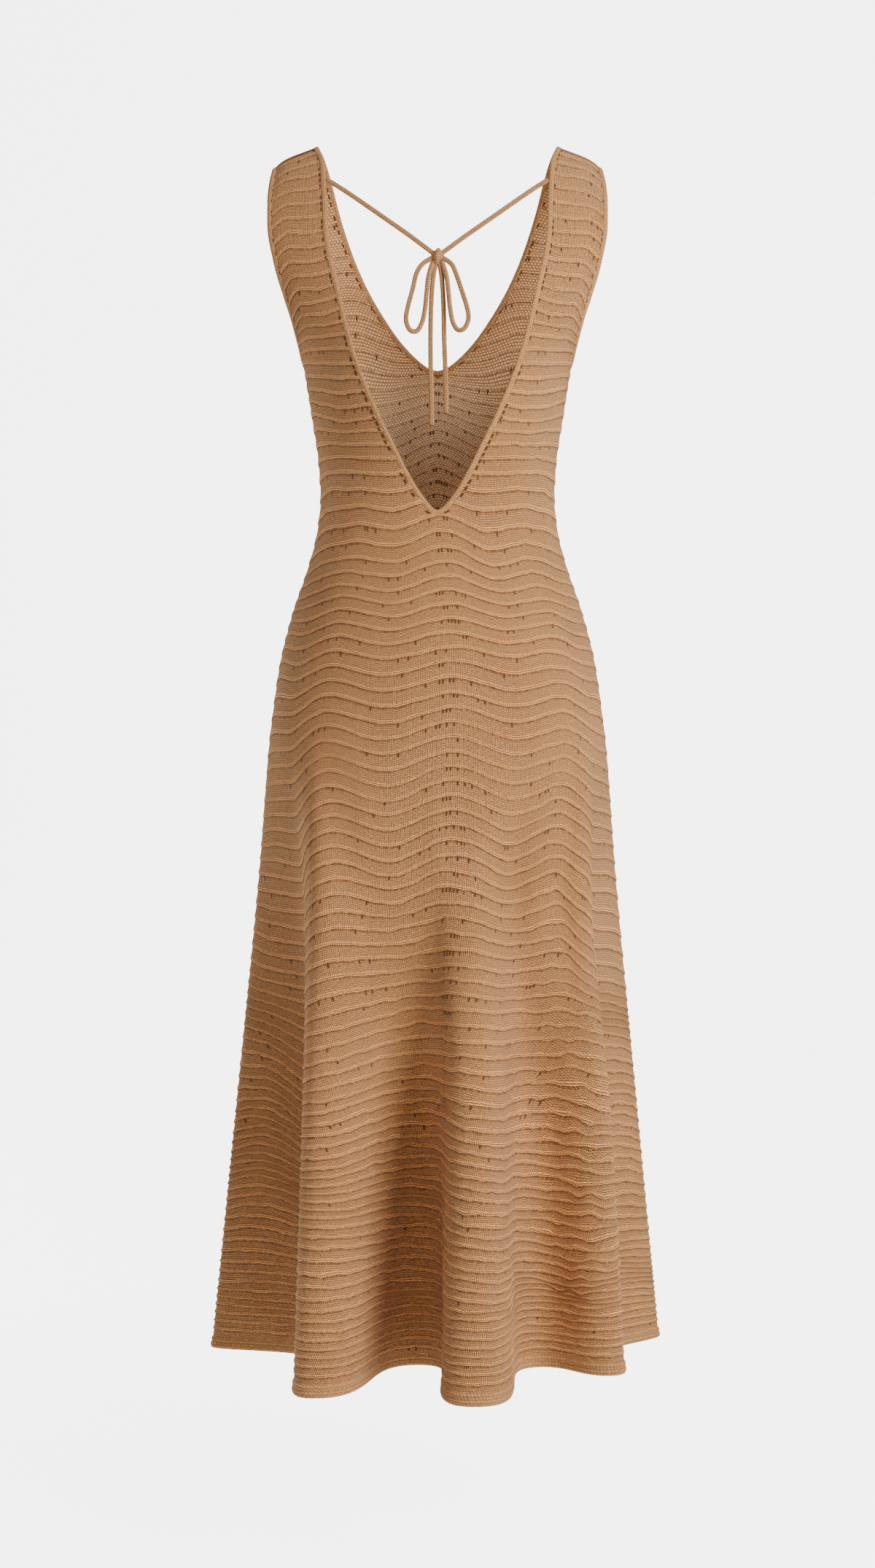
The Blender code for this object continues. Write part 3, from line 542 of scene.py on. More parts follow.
# The knitting's middle line drifts to the right at the waist and back again on the skirt.
MIDDLE_LINE = {"level": (-0.370, -0.440, -0.520, -0.860, -0.960),
               "deg": (0.0, 3.5, 5.0, 5.0, 0.0)}
WAVE_LEVELS = (0.000, -0.040, -0.160, -0.235, -0.275, -0.330, -0.415, -0.510, -0.610, -0.700,
               -0.800, -0.900, -1.000, -1.100, -1.180, -1.240)
WAVE_RISES = {      # angle from the middle: millimetres that a row rises at each level above
    -90: (0, -6, -17, 8, 11, 0, -30, -16, -34, -34, -33, -13, -15, 4, 0, 0),
    -77: (0, -1, -5, 5, 7, 1, -25, -9, -29, -35, -43, -19, -6, 11, 0, 0),
    -63: (0, -3, -6, 1, 0, 2, -18, -14, -28, -38, -46, -43, -25, 2, 0, 0),
    -44: (0, 0, 0, -4, -8, -1, -13, -2, -3, -3, -8, -18, -14, 10, 0, 0),
    -22: (0, -12, -14, -9, -6, -5, -20, -12, -17, -17, -9, -4, -4, 6, 0, 0),
    0: (0, -20, -20, -10, 0, 0, -4, 0, 1, 5, 2, 3, 0, 0, 0, 0),
    22: (0, -12, -14, -9, -6, -5, -22, -10, -16, -15, -11, -3, -16, -14, 0, 0),
    44: (0, 0, 0, -4, -8, -1, -14, -3, -4, 2, -3, -2, -22, -29, -2, 0),
    63: (0, -3, -6, 1, 0, 2, -20, -13, -22, -28, -48, -15, -27, -21, 0, 0),
    77: (0, -1, -5, 5, 7, 1, -22, -13, -28, -31, -55, -21, -16, -28, -1, 0),
    90: (0, -6, -17, 8, 11, 0, -25, -19, -32, -39, -66, -32, -29, -34, -7, 0),
}
# Between bust and hips the front's rows also fall away from its middle line, in a chevron.
CHEVRON_SHARES = {"level": (-0.150, -0.190, -0.225, -0.380, -0.520),
                  "share": (0.00, 0.45, 1.00, 0.90, 0.00)}
CHEVRON_ENDS = (-0.520, -0.150)
CHEVRON_FALLS = {"deg": (0, 5, 22, 44, 64, 90),
                 "fall": (0.0, 0.0030, 0.0170, 0.0290, 0.0165, 0.0)}
FOLD_HEIGHTS = {"thigh": -0.750, "knee": -0.980, "hem": HEM_EDGE}
# Each fold, trough and seam: its angle from the middle, the way that its crest runs as seen
# from above, how round it is, and where it lies in millimetres at the three heights.
FOLD_COLUMNS = ("deg", "facing", "round", "thigh x", "thigh y", "knee x", "knee y", "hem x",
                "hem y")
BACK_FOLDS = (
    (-90, -90, 0.45, -184, 4, -207, 8, -233, 12),
    (-62, -52, 0.90, -143, -48, -130, -34, -132, -30),
    (-42, 8, 1.10, -104, -144, -108, -174, -112, -200),
    (-10, 0, 1.10, -28, -143, -19, -104, -19, -68),
    (10, 0, 1.20, 29, -152, 34, -194, 35, -232),
    (33, 0, 1.10, 86, -121, 100, -94, 106, -76),
    (55, 4, 1.20, 135, -108, 157, -112, 169, -112),
    (70, 58, 0.90, 158, -45, 164, -24, 172, -6),
    (90, 90, 0.45, 184, 12, 207, 36, 233, 62),
)
FRONT_FOLDS = (
    (-90, 90, 0.45, -184, 4, -207, 8, -233, 12),
    (-64, 45, 0.90, -150, 52, -145, 56, -148, 60),
    (-42, 0, 1.15, -108, 130, -112, 164, -120, 196),
    (-20, 0, 1.10, -46, 138, -52, 112, -58, 86),
    (0, 0, 1.15, 10, 144, 6, 184, 2, 216),
    (24, 0, 1.10, 70, 129, 68, 106, 64, 86),
    (46, -4, 1.20, 124, 112, 129, 150, 134, 184),
    (66, -45, 0.90, 158, 62, 160, 82, 162, 102),
    (90, -90, 0.45, 184, 12, 207, 36, 233, 62),
)
BACK = dict(name="back", face=-1, neck=BACK_NECK, folds=BACK_FOLDS, seed=3)
FRONT = dict(name="front", face=1, neck=FRONT_NECK, folds=FRONT_FOLDS, seed=8)


def span_curve(t, start, end, first_run, last_run):
    """Value at a share t of the way from start to end, which sets out and arrives as told."""
    return (start * (1 + 2 * t) * (1 - t) ** 2 + end * t * t * (3 - 2 * t)
            + first_run * t * (1 - t) ** 2 - last_run * t * t * (1 - t))


def curve(xs, ys, x):
    """Value at each x of a smooth curve through the points. Each y may be an array like x."""
    order = np.argsort(xs)
    xs = np.asarray(xs, dtype=float)[order]
    ys = np.stack([np.broadcast_to(np.asarray(ys[k], dtype=float), np.shape(x)) for k in order])
    x = np.asarray(x, dtype=float)
    rises = np.diff(ys, axis=0) / np.diff(xs).reshape((-1,) + (1,) * x.ndim)
    product = rises[:-1] * rises[1:]
    total = rises[:-1] + rises[1:]
    total = np.where(np.abs(total) < 1e-12, 1.0, total)
    between = np.where(product > 0.0, 2.0 * product / total, 0.0)
    slopes = np.concatenate([rises[:1], between, rises[-1:]])
    i = np.clip(np.searchsorted(xs, x, side="right") - 1, 0, len(xs) - 2)
    span = xs[i + 1] - xs[i]
    t = (x - xs[i]) / span
    y0, y1, s0, s1 = [np.take_along_axis(table, k[None], axis=0)[0]
                      for table in (ys, slopes) for k in (i, i + 1)]
    inside = span_curve(t, y0, y1, span * s0, span * s1)
    return np.where(t < 0.0, y0 + s0 * (x - xs[i]),
                    np.where(t > 1.0, y1 + s1 * (x - xs[i + 1]), inside))


def section(key, height):
    """A column of the body's table at each height above the folds."""
    return curve(SECTIONS["level"], SECTIONS[key], np.maximum(height, FOLD_START))


def middle_line(level):
    """How many degrees the middle line of the knitting has drifted to the right."""
    return curve(MIDDLE_LINE["level"], MIDDLE_LINE["deg"], np.clip(level, -0.960, -0.370))


def wave(panel, level, deg):
    """How far a row stands above its level, at an angle from the middle."""
    rises = [curve(WAVE_LEVELS, np.array(rise) / 1000.0, level) for rise in WAVE_RISES.values()]
    drifted = deg - middle_line(level) * np.cos(np.radians(deg))
    rise = curve(list(WAVE_RISES), rises, drifted)
    if panel["face"] > 0:
        share = curve(CHEVRON_SHARES["level"], CHEVRON_SHARES["share"],
                      np.clip(level, *CHEVRON_ENDS))
        rise = rise - share * curve(CHEVRON_FALLS["deg"], CHEVRON_FALLS["fall"], np.abs(deg))
    return rise


def fold_ring(panel, deg, place):
    """Points of the folded skirt seen from above, at one of the three heights."""
    folds = dict(zip(FOLD_COLUMNS, np.array(panel["folds"]).T))
    degs, rounds = folds["deg"], folds["round"]
    points = np.stack([folds[place + " x"], folds[place + " y"]], 1) / 1000.0
    facing = np.radians(folds["facing"])
    runs = np.stack([np.cos(facing), np.sin(facing)], 1)
    i = np.clip(np.searchsorted(degs, deg, side="left") - 1, 0, len(degs) - 2)
    t = ((deg - degs[i]) / (degs[i + 1] - degs[i]))[..., None]
    a, b = points[i], points[i + 1]
    reach = np.linalg.norm(b - a, axis=-1, keepdims=True)
    run_a = runs[i] * reach * rounds[i][..., None]
    run_b = runs[i + 1] * reach * rounds[i + 1][..., None]
    return span_curve(t, a, b, run_a, run_b)


def body_ring(panel, deg, height):
    """Points of the smooth body seen from above."""
    edge = section("edge_deg", height)
    angle = np.radians(deg * edge / 90.0)
    half_width = section("width", height) / np.sin(np.radians(edge))
    return np.stack([half_width * np.sin(angle),
                     panel["face"] * section(panel["name"], height) * np.cos(angle)], -1)


def surface(panel, level, q, lift=0.0):
    """Points of a panel's form. lift moves a place up the cloth, along its own slope."""
    deg = 90.0 * q
    height = level + wave(panel, level, deg) + lift
    plan = body_ring(panel, deg, height)
    low = height <= FOLD_START
    if np.any(low):
        at = deg[low]
        smooth = [FOLD_START, FOLD_START + SMOOTH_ABOVE_FOLDS]
        rings = [fold_ring(panel, at, place) for place in FOLD_HEIGHTS]
        rings += [body_ring(panel, at, np.full_like(at, above)) for above in smooth]
        heights = list(FOLD_HEIGHTS.values()) + smooth
        for k in (0, 1):
            plan[low, k] = curve(heights, [ring[..., k] for ring in rings], height[low])
    fade = np.maximum(0.0, 1.0 + level / DROP_FADE) ** 2
    inner, outer = panel["neck"]["half_gap"][0], SECTIONS["width"][0]
    across = (np.abs(plan[..., 0]) - inner) / (outer - inner)
    drop = fade * (SHOULDER_DROP * across + CORNER_DROP * np.clip(across, 0.0, 1.0) ** 6)
    lap = panel["face"] * SEAM_LAP / 2
    return np.stack([plan[..., 0], plan[..., 1] - lap, height - drop], -1)


def outward(panel, level, q, lift=0.0):
    """The outward direction of a panel's form."""
    step = 0.004
    along = (surface(panel, level, np.minimum(q + step, 1.0), lift)
             - surface(panel, level, np.maximum(q - step, -1.0), lift))
    top = np.minimum(level + 0.001, 0.0)
    down = surface(panel, top - 0.002, q, lift) - surface(panel, top, q, lift)
    normal = unit(np.cross(along, down)) * panel["face"]
    shoulder = level == 0.0
    height = level + wave(panel, level, 90.0 * np.ones_like(q))
    side_seam = (np.abs(q) >= 1.0) & (height <= UNDERARM)
    normal[..., 1] = np.where(shoulder | side_seam, 0.0, normal[..., 1])
    return unit(normal)


def neck_q(panel, level):
    """Where each row meets the V neck, as a q above 0, or 0 below the V."""
    levels, gaps = panel["neck"]["level"], panel["neck"]["half_gap"]
    low = np.zeros_like(level)
    high = np.ones_like(level)
    for _ in range(30):
        middle = (low + high) / 2
        height = level + wave(panel, level, 90.0 * middle)
        gap = np.where(height > levels[-1], curve(levels, gaps, height), 0.0)
        inside = body_ring(panel, 90.0 * middle, height)[..., 0] < gap
        low = np.where(inside, middle, low)
        high = np.where(inside, high, middle)
    below = level + wave(panel, level, np.zeros_like(level)) <= levels[-1]
    return np.where(below, 0.0, high)


def random_field(seed, rows, columns):
    """A smooth random field with values from -1 to 1, read at any place in rows and columns."""
    grid = np.random.default_rng(seed).uniform(-1.0, 1.0, (rows, columns))

    def value(a, b):
        i, j = np.floor(a).astype(int), np.floor(b).astype(int)
        s, t = a - i, b - j
        s, t = s * s * (3 - 2 * s), t * t * (3 - 2 * t)
        k, m = (i + 1) % rows, (j + 1) % columns
        i, j = i % rows, j % columns
        return ((grid[i, j] * (1 - s) + grid[k, j] * s) * (1 - t)
                + (grid[i, m] * (1 - s) + grid[k, m] * s) * t)

    return value


# ================ panels
# Front and back are knitted in camel yarn. Every centimetre or so a few rows are gathered
# into a raised welt, with a double line of chain on its crest and a crease below it. The chain
# lines get a painted highlight and the crease a painted shadow.
# Between the welts the cloth is plain stocking stitch, purl on the wrong side.

WELT_PITCH = {"down": (0.000, 0.034, 0.185, 0.390, 0.880, 0.960, 1.120, 1.170),
              "pitch": (0.0108, 0.0162, 0.0127, 0.0150, 0.0146, 0.0112, 0.0105, 0.0082)}
FIRST_WELT = -0.0060
LAST_WELT = HEM_SEAM + 0.0070
WELT_PROFILE = {      # millimetres down from a welt's upper edge: the share of WELT it stands out
    "down": (0.0, 1.1, 2.3, 3.2, 4.0, 5.8, 8.0, 10.4),
    "out": (0.82, 1.00, 0.92, 0.42, -0.10, 0.10, 0.16, 0.24),
}
PROFILE_PITCH = 0.0110      # welts that lie closer than this are narrower to match
END_RISE = 0.2              # the share of WELT that the cloth stands out at shoulder and hem
INSIDE_ROWS = (0, 4)        # the rows of the profile that the wrong side has as well
HALF_COLUMNS = 52
INSIDE_HALF_COLUMNS = 40
INSIDE_SLACK = 0.0009       # how much further in the wrong side lies in the low folds
WOBBLE = 0.0011             # how far the welts wander
RUFFLE = 0.0034             # how far they wander on the skirt's fullest folds
WOBBLE_LENGTH = 7.5         # columns of the random field across half a panel
WALE_WIDTH = 0.155          # half-width of the body where a stitch has its full width
PURL_HEIGHT = 0.0026
KNIT_COLOUR = (0.560, 0.268, 0.108, 1.0)
WRONG_SIDE_COLOUR = (0.740, 0.410, 0.205, 1.0)
# Painted light: a lighter colour for the wrong side around the bottom of the back V.
INSIDE_WAIST_LIGHT_COLOUR = (0.960, 0.700, 0.460, 1.0)
# Painted highlight: a factor that lightens the raised chain lines on each welt's crest.
CHAIN_HIGHLIGHT = (2.600, 2.450, 2.200, 1.0)
# Painted shadow: the dark colour laid in the crease under each welt.
CREASE_SHADOW_COLOUR = (0.120, 0.045, 0.015, 1.0)
PANEL_RELIEF = 0.0008
# The welt's marks in metres: lines lie this far below its upper edge, lengths run along it.
CREST_SHARE = 0.2           # the part of a welt's pitch that counts as above its upper edge
CHAIN_LINES = (0.0003, 0.0023)
BEAD_LENGTH = 0.0019
CREASE_LINE = 0.0038
CREASE_LENGTH = 0.0018
STROKE_START = 0.0028
STROKE_END = 0.0075
STROKE_WIDTH = 0.0017
SLIT_LINE = 0.0052
RUNG_LENGTH = 0.0064        # the holes beside the edgings, like the rungs of a ladder
RUNG_CHANCE = 0.60
LADDER_PLACE = 0.0021


def welt_crests():
    """The level of each welt, from the shoulder down."""
    crests = [FIRST_WELT]
    while True:
        pitch = float(np.interp(-crests[-1], WELT_PITCH["down"], WELT_PITCH["pitch"]))
        if crests[-1] - pitch < LAST_WELT:
            return np.array(crests)
        crests.append(crests[-1] - pitch)


CRESTS = welt_crests()


def welt_rows(chosen):
    """Level, welt count, rise and welt pitch of the chosen rows of each welt, shoulder to hem."""
    down, outs = [np.array(WELT_PROFILE[key])[list(chosen)] for key in ("down", "out")]
    pitches = (CRESTS - np.append(CRESTS[1:], HEM_SEAM))[:, None]
    spans = np.maximum(pitches, PROFILE_PITCH)
    shares = down / 1000.0 / spans
    levels = CRESTS[:, None] - shares * pitches
    counts = np.arange(len(CRESTS))[:, None] + shares
    outs, spans = [np.broadcast_to(rows, shares.shape) for rows in (outs, spans)]
    top = (0.0, -0.45, END_RISE, PROFILE_PITCH)
    bottom = (HEM_SEAM, float(len(CRESTS)), END_RISE, PROFILE_PITCH)
    return [np.concatenate([[first], rows.ravel(), [last]])
            for first, rows, last in zip(top, (levels, counts, outs, spans), bottom)]


def wobbles(panel, level, q, count, near):
    """The knitting's unevenness: each welt wanders up and down, but not at the neck's edge."""
    below = near == 0.0
    slow = random_field(panel["seed"], 400, 60)
    quick = random_field(panel["seed"] + 1, 400, 120)
    side = q * WOBBLE_LENGTH + 20.0
    lift = WOBBLE * slow(count * 0.8 + 5.0, side)
    low = curve((0.0, -0.62, -0.80, -1.05, -1.18, HEM_SEAM), (0.2, 0.2, 0.7, 1.0, 0.5, 0.0), level)
    ruffled = np.exp(-((q - 0.55) / 0.22) ** 2) + 0.55 * np.exp(-((q + 0.05) / 0.16) ** 2) + 0.22
    lift = lift + RUFFLE * low * ruffled * quick(count * 0.9 + 9.0, q * 21.0 + 40.0)
    ends = np.minimum(1.0, np.minimum(-level, level - HEM_SEAM) / 0.02)
    return lift * np.maximum(ends, 0.0) * np.clip((np.abs(q) - near) * 8.0 + below, 0.0, 1.0)


def welt_strengths(panel, level, q, count):
    """How strongly each welt stands out along its length: some stretches almost die away."""
    patch = random_field(panel["seed"] + 2, 400, 60)
    broad = patch(count * 0.13 + 3.0, q * 3.0 + 20.0)
    fine = patch(count * 0.9 + 60.0, q * 9.0 + 30.0)
    hips = np.exp(-((level + 0.625) / 0.045) ** 2)
    straps = np.exp(-(level / 0.13) ** 2)
    low = np.clip((-0.95 - level) / 0.15, 0.0, 1.0)
    return np.clip(0.90 - 0.34 * hips - 0.32 * straps + 0.22 * low + 0.20 * broad + 0.16 * fine,
                   0.15, 1.3)


def panel_side(panel, half_columns, chosen, inside):
    """One side of a panel's cloth: its points, faces, coordinates and values."""
    level, count, rise, span = welt_rows(chosen)
    share = np.linspace(0.0, 1.0, half_columns + 1)
    if not inside:
        level, count, rise, span, share = map(turned_in, (level, count, rise, span, share))
    near = neck_q(panel, level)
    right_q = near[:, None] + (1.0 - near[:, None]) * share
    q = np.hstack([-right_q[:, ::-1], right_q])
    level, count, rise, span = [np.broadcast_to(rows[:, None], q.shape)
                                for rows in (level, count, rise, span)]
    lift = wobbles(panel, level, q, count, near[:, None])
    form = surface(panel, level, q, lift)
    normal = outward(panel, level, q, lift)
    strength = welt_strengths(panel, level, q, count)
    ends = np.clip(np.minimum(-level, level - HEM_SEAM) / 0.003, 0.0, 1.0)
    out = WELT * rise * strength * ends
    half = len(share)
    index = np.arange(q.size).reshape(q.shape)
    joined = near == 0.0
    if inside:
        low_folds = np.clip((-0.75 - level) / 0.15, 0.0, 1.0)
        out = out - CLOTH - INSIDE_SLACK * low_folds * (1.0 - q * q) * ends
        index[joined, half] = index[joined, half - 1]
        faces = grid_faces(index)
        column = np.arange(len(faces)) % (q.shape[1] - 1)
        faces = faces[column != half - 1]
    else:
        out[:, [0, half - 1, half, -1]] = -CLOTH
        out[[0, -1]] = -CLOTH
        index[joined, half + 1] = index[joined, half - 2]
        faces = grid_faces(index)
        row, column = np.divmod(np.arange(len(faces)), q.shape[1] - 1)
        flange = (column == half - 2) | (column == half)
        faces = faces[(column != half - 1) & ~(flange & (joined[row] | joined[row + 1]))]
    if (panel["face"] > 0) != inside:
        faces = faces[:, ::-1]
    right, left = [np.abs(cloth[:, :1, 0]) + travelled(cloth)
                   for cloth in (form[:, half:], form[:, half - 1::-1])]
    along = np.hstack([-left[:, ::-1], right])
    to_neck = (np.abs(q) - near[:, None]) * (1.0 - joined[:, None]) + joined[:, None]
    to_arm = np.where(form[..., 2] > UNDERARM, 1.0 - np.abs(q), 1.0)
    body_width = section("width", np.minimum(level, 0.0))
    edge = np.minimum(to_neck, to_arm) * body_width
    along = along - np.sin(np.radians(middle_line(level))) * body_width
    along = along * np.sqrt(WALE_WIDTH / body_width)
    values = np.stack([count, strength, edge, span], -1).reshape(-1, 4)
    points = form + normal * out[..., None]
    return points.reshape(-1, 3), faces, laid(along, level, q).reshape(-1, 2), values


def panel_piece(panel, materials):
    """A panel as a thin shell: welts on its right side, their hollows on the wrong side."""
    rows = range(len(WELT_PROFILE["down"]))
    right = panel_side(panel, HALF_COLUMNS, rows, False)
    wrong = panel_side(panel, INSIDE_HALF_COLUMNS, INSIDE_ROWS, True)
    points, coordinates, values = [np.vstack([right[k], wrong[k]]) for k in (0, 2, 3)]
    faces = np.vstack([right[1], wrong[1] + len(right[0])])
    sides = np.repeat((0, 1), (len(right[1]), len(wrong[1])))
    named = dict(zip(("welt_count", "welt_strength", "edge_distance", "welt_span"), values.T))
    return make_piece(panel["name"] + "_knit", points, faces, coordinates, materials, sides, named)


def welt_lines():
    """The welts' marks: two lines of chain on the crest with their painted highlight, the painted
    shadow of the crease below them, and eyelets.
    """
    nodes, given, result = new_group(
        "welt_lines", {"Along": 0.0, "Down": 0.0, "Count": 0.0, "Span": PROFILE_PITCH,
                       "Strength": 1.0, "Edge distance": 1.0, "Drift": 0.003,
                       "Stitch width": STITCH_WIDTH}, ["Chain", "Crease shadow", "Eyelet", "Height"])
    along, down, count, span, strength, edge_distance, drift_size, stitch_width = given
    drift = nodes.noise(nodes.join(along, down), 70.0) - 0.5
    count = count + drift * drift_size / span
    share = nodes.math("FRACT", count + CREST_SHARE)
    below = (share - CREST_SHARE) * span

    def near(value, centre, inner, outer, high=1.0, low=0.0):
        """high within inner of the centre, falling to low at outer."""
        away = nodes.math("ABSOLUTE", value - centre)
        return nodes.ramp(away, inner, outer, high, low)

    def dice(x, y):
        """A random number for each whole x and y."""
        return nodes.add("ShaderNodeTexWhiteNoise", {"Vector": nodes.join(x, y)}, "Value",
                         noise_dimensions="2D")

    def cells(size, salt):
        """Random numbers, one for each stretch of this length along each welt."""
        cell = nodes.math("FLOOR", along / size)
        return dice(cell + salt, nodes.math("FLOOR", count + CREST_SHARE))

    beads = nodes.math("SINE", along * (2 * np.pi / BEAD_LENGTH))
    beads = nodes.times_plus(beads, 0.30, 0.70)
    upper, lower = [near(below, line, 0.0002, 0.0008) for line in CHAIN_LINES]
    chain = nodes.math("MAXIMUM", upper, lower) * beads
    soft = nodes.ramp(strength, 0.2, 0.9, 0.45, 1.0)
    # Painted highlight on the chain lines, weaker where the welt dies away.
    nodes.feed(result["Chain"], chain * soft)
    # Painted shadow: a dark line in the crease under the chain, broken into dashes, with short
    # dark strokes below it.
    crease = near(below, CREASE_LINE, 0.0003, 0.0014) * nodes.ramp(strength, 0.15, 0.90)
    crease = crease * nodes.times_plus(cells(CREASE_LENGTH, 11.0), 0.75, 0.25)
    wale = along / (stitch_width * 0.5)
    stroke = near(nodes.math("FRACT", wale), 0.5, 0.10, 0.34)
    stroke = stroke * nodes.ramp(below, 0.0034, STROKE_END, 1.0, 0.0)
    stroke = stroke * nodes.math("GREATER_THAN", below, STROKE_START)
    stroke = stroke * nodes.ramp(cells(STROKE_WIDTH, 23.0), 0.35, 1.0, 0.0, 0.9)
    crease = nodes.math("MAXIMUM", crease, stroke)
    nodes.feed(result["Crease shadow"], crease)
    middle = near(along, 0.0, 0.004, 0.016, 0.50, 0.05)
    middle = middle * nodes.ramp(down, -1.05, -0.85, 0.10, 1.0)
    chosen = nodes.math("LESS_THAN", cells(stitch_width, 0.0), middle)
    in_cell = nodes.math("FRACT", along / stitch_width)
    slit = near(in_cell, 0.5, 0.16, 0.42) * near(below, SLIT_LINE, 0.0014, 0.0027) * chosen
    rung = down / RUNG_LENGTH
    chance = dice(nodes.math("FLOOR", rung), nodes.math("SIGN", along))
    open_rung = nodes.math("LESS_THAN", chance, RUNG_CHANCE)
    ladder = near(edge_distance, LADDER_PLACE, 0.0005, 0.0012)
    ladder = ladder * near(nodes.math("FRACT", rung), 0.5, 0.22, 0.44)
    eyelet = nodes.math("MAXIMUM", slit, ladder * open_rung)
    nodes.feed(result["Eyelet"], eyelet)
    nodes.feed(result["Height"], chain * 0.8 - nodes.math("MAXIMUM", crease, eyelet) * 1.2)
    return nodes.tree


def panel_material(name, colour, stitch_tree, stitch_height, shading_contrast, chain_highlight_share,
                   crease_shadow_share):
    """Knitted cloth with its welts' lines: a painted highlight on the chain and painted shadow in
    the crease.
    """
    material, nodes, shader, along, down = yarn_material(name)

    def read(key):
        return nodes.add("ShaderNodeAttribute", output="Fac", attribute_name=key)

    stitch = nodes.group(stitch_tree, Along=along, Down=down, Stitch_width=STITCH_WIDTH,
                         Stitch_height=stitch_height)
    lines = nodes.group(LINES, Along=along, Down=down, Count=read("welt_count"),
                        Span=read("welt_span"), Strength=read("welt_strength"),
                        Edge_distance=read("edge_distance"), Stitch_width=STITCH_WIDTH,
                        Drift=nodes.ramp(down, -1.0, -0.7, 0.0055, 0.0022))
    if stitch_tree is PURL:
        # Painted light: the wrong side is lighter between levels -0.50 and -0.15, where the
        # front's inside shows through the back V.
        inside_waist_light = nodes.ramp(down, -0.29, -0.15, 1.0, 0.0) * nodes.ramp(down, -0.50, -0.40)
        colour = nodes.mix(inside_waist_light, colour, INSIDE_WAIST_LIGHT_COLOUR)
    plain = nodes.group(YARN, Colour=colour, Along=along, Down=down,
                        Height=stitch["Height"], Contrast=shading_contrast)["Colour"]
    # Painted highlight: the chain lines are lightened.
    lit = nodes.mix(lines["Chain"] * chain_highlight_share, plain, CHAIN_HIGHLIGHT, "MULTIPLY")
    # Painted shadow in the crease under each welt; the eyelets are darkened as holes.
    dark = nodes.math("MAXIMUM", lines["Crease shadow"] * crease_shadow_share, lines["Eyelet"] * 0.95)
    finish_yarn(nodes, shader, nodes.mix(dark, lit, CREASE_SHADOW_COLOUR),
                stitch["Height"] + lines["Height"], PANEL_RELIEF)
    return material


LINES = welt_lines()
right_side = panel_material("welted_knit", KNIT_COLOUR, STOCKING, STITCH_HEIGHT, 2.0, 0.90,
                            0.76)
wrong_side = panel_material("wrong_side", WRONG_SIDE_COLOUR, PURL, PURL_HEIGHT, 1.4, 0.30, 0.60)
panels = {panel["name"]: panel_piece(panel, [right_side, wrong_side]) for panel in (BACK, FRONT)}
for name, piece in panels.items():
    stand_for(piece, name + "_panel")


# ================ neck and armhole edgings
# Each edge is finished with a narrow band that rolls over on itself: two columns of chain
# stitch side by side, a little lighter and smoother than the cloth.

TRIM_STEP = 0.0010
TRIM_CENTRE = 0.0013        # how far the roll's middle lies from the cloth's edge
TRIM_ACROSS = 0.0028        # half its width
TRIM_OUT = 0.0014           # half its thickness
TRIM_SUNK = -0.0004         # how far its middle stands out from the cloth's right side
TRIM_RADIUS = 0.0021        # the roll's mean radius, which spaces the stitches round it
TRIM_CHAIN = 0.0024
TRIM_RELIEF = 0.00018
EDGE_COLOUR = (0.600, 0.300, 0.125, 1.0)


def edge_line(levels, sides):
    """Points down one side of an opening and up the other, with directions off the cloth."""
    lines = []
    for panel, q, inner_q in sides:
        edge = surface(panel, levels, q)
        inward = surface(panel, levels, inner_q) - edge
        lines.append((edge, outward(panel, levels, q), inward))
    return [np.vstack([down, up[::-1]]) for down, up in zip(*lines)]


def neck_line(panel):
    """The line round a V neck."""
    levels = np.linspace(0.0, panel["neck"]["level"][-1] - 0.030, 900)
    near = neck_q(panel, levels)
    levels, near = levels[near > 0.0], near[near > 0.0]
    return edge_line(levels, [(panel, side * near, side * (near + 0.02))
                              for side in (-1.0, 1.0)])


def armhole_line(side):
    """The closed line round an armhole, down its back edge and up its front one."""
    levels = np.linspace(0.0, UNDERARM - 0.02, 500)
    q = np.full_like(levels, side)
    keep = levels + wave(BACK, levels, 90.0 * q) > UNDERARM
    levels, q = levels[keep], q[keep]
    return edge_line(levels, [(panel, q, q * 0.97) for panel in (BACK, FRONT)])


def softened(line, closed, rounds):
    """A line with its corners worn round."""
    for _ in range(rounds):
        if closed:
            line = (np.roll(line, 1, 0) + 2 * line + np.roll(line, -1, 0)) / 4
        else:
            line = np.vstack([line[:1], (line[:-2] + 2 * line[1:-1] + line[2:]) / 4, line[-1:]])
    return line


def trim_piece(name, line, closed, material):
    """A rolled edging along a line of edge points."""
    if closed:
        line = [np.vstack([values, values[:1]]) for values in line]
    distances = travelled(line[0])
    keep = np.append(True, np.diff(distances) > 1e-7)
    distances = distances[keep]
    count = int(round(distances[-1] / TRIM_STEP))
    places = np.linspace(0.0, distances[-1], count + 1)
    if closed:
        places = places[:-1]
    edge, off_cloth, inward = [read_along(values[keep], distances, places) for values in line]
    edge = softened(edge, closed, 6 if closed else 3)
    ahead = np.roll(edge, -1, 0) - np.roll(edge, 1, 0)
    if not closed:
        ahead[0] = edge[1] - edge[0]
        ahead[-1] = edge[-1] - edge[-2]
    run = unit(ahead)
    away = unit(np.cross(run, off_cloth))
    away = away * -np.sign(np.sum(away * inward, axis=1, keepdims=True))
    out = np.cross(away, run)
    out = out * np.sign(np.sum(out * off_cloth, axis=1, keepdims=True))
    away = unit(softened(away, closed, 10))
    out = unit(softened(out, closed, 10))
    turn = full_turn(ROLL_SIDES)
    lift = TRIM_RELIEF * stitch_relief(turn, places, 3.0, TRIM_CHAIN, 1.2)
    points = ringed(edge, away, out, TRIM_CENTRE + (TRIM_ACROSS + lift) * np.cos(turn),
                    TRIM_SUNK + (TRIM_OUT + lift) * np.sin(turn))
    if closed:
        faces = grid_faces(numbered(points), closed_rows=True, closed_columns=True)
        down = places[:, None]
    else:
        points, faces, down = closed_tube(points, places)
    return make_piece(name, points, faces, laid(turn * TRIM_RADIUS, down, points), [material])


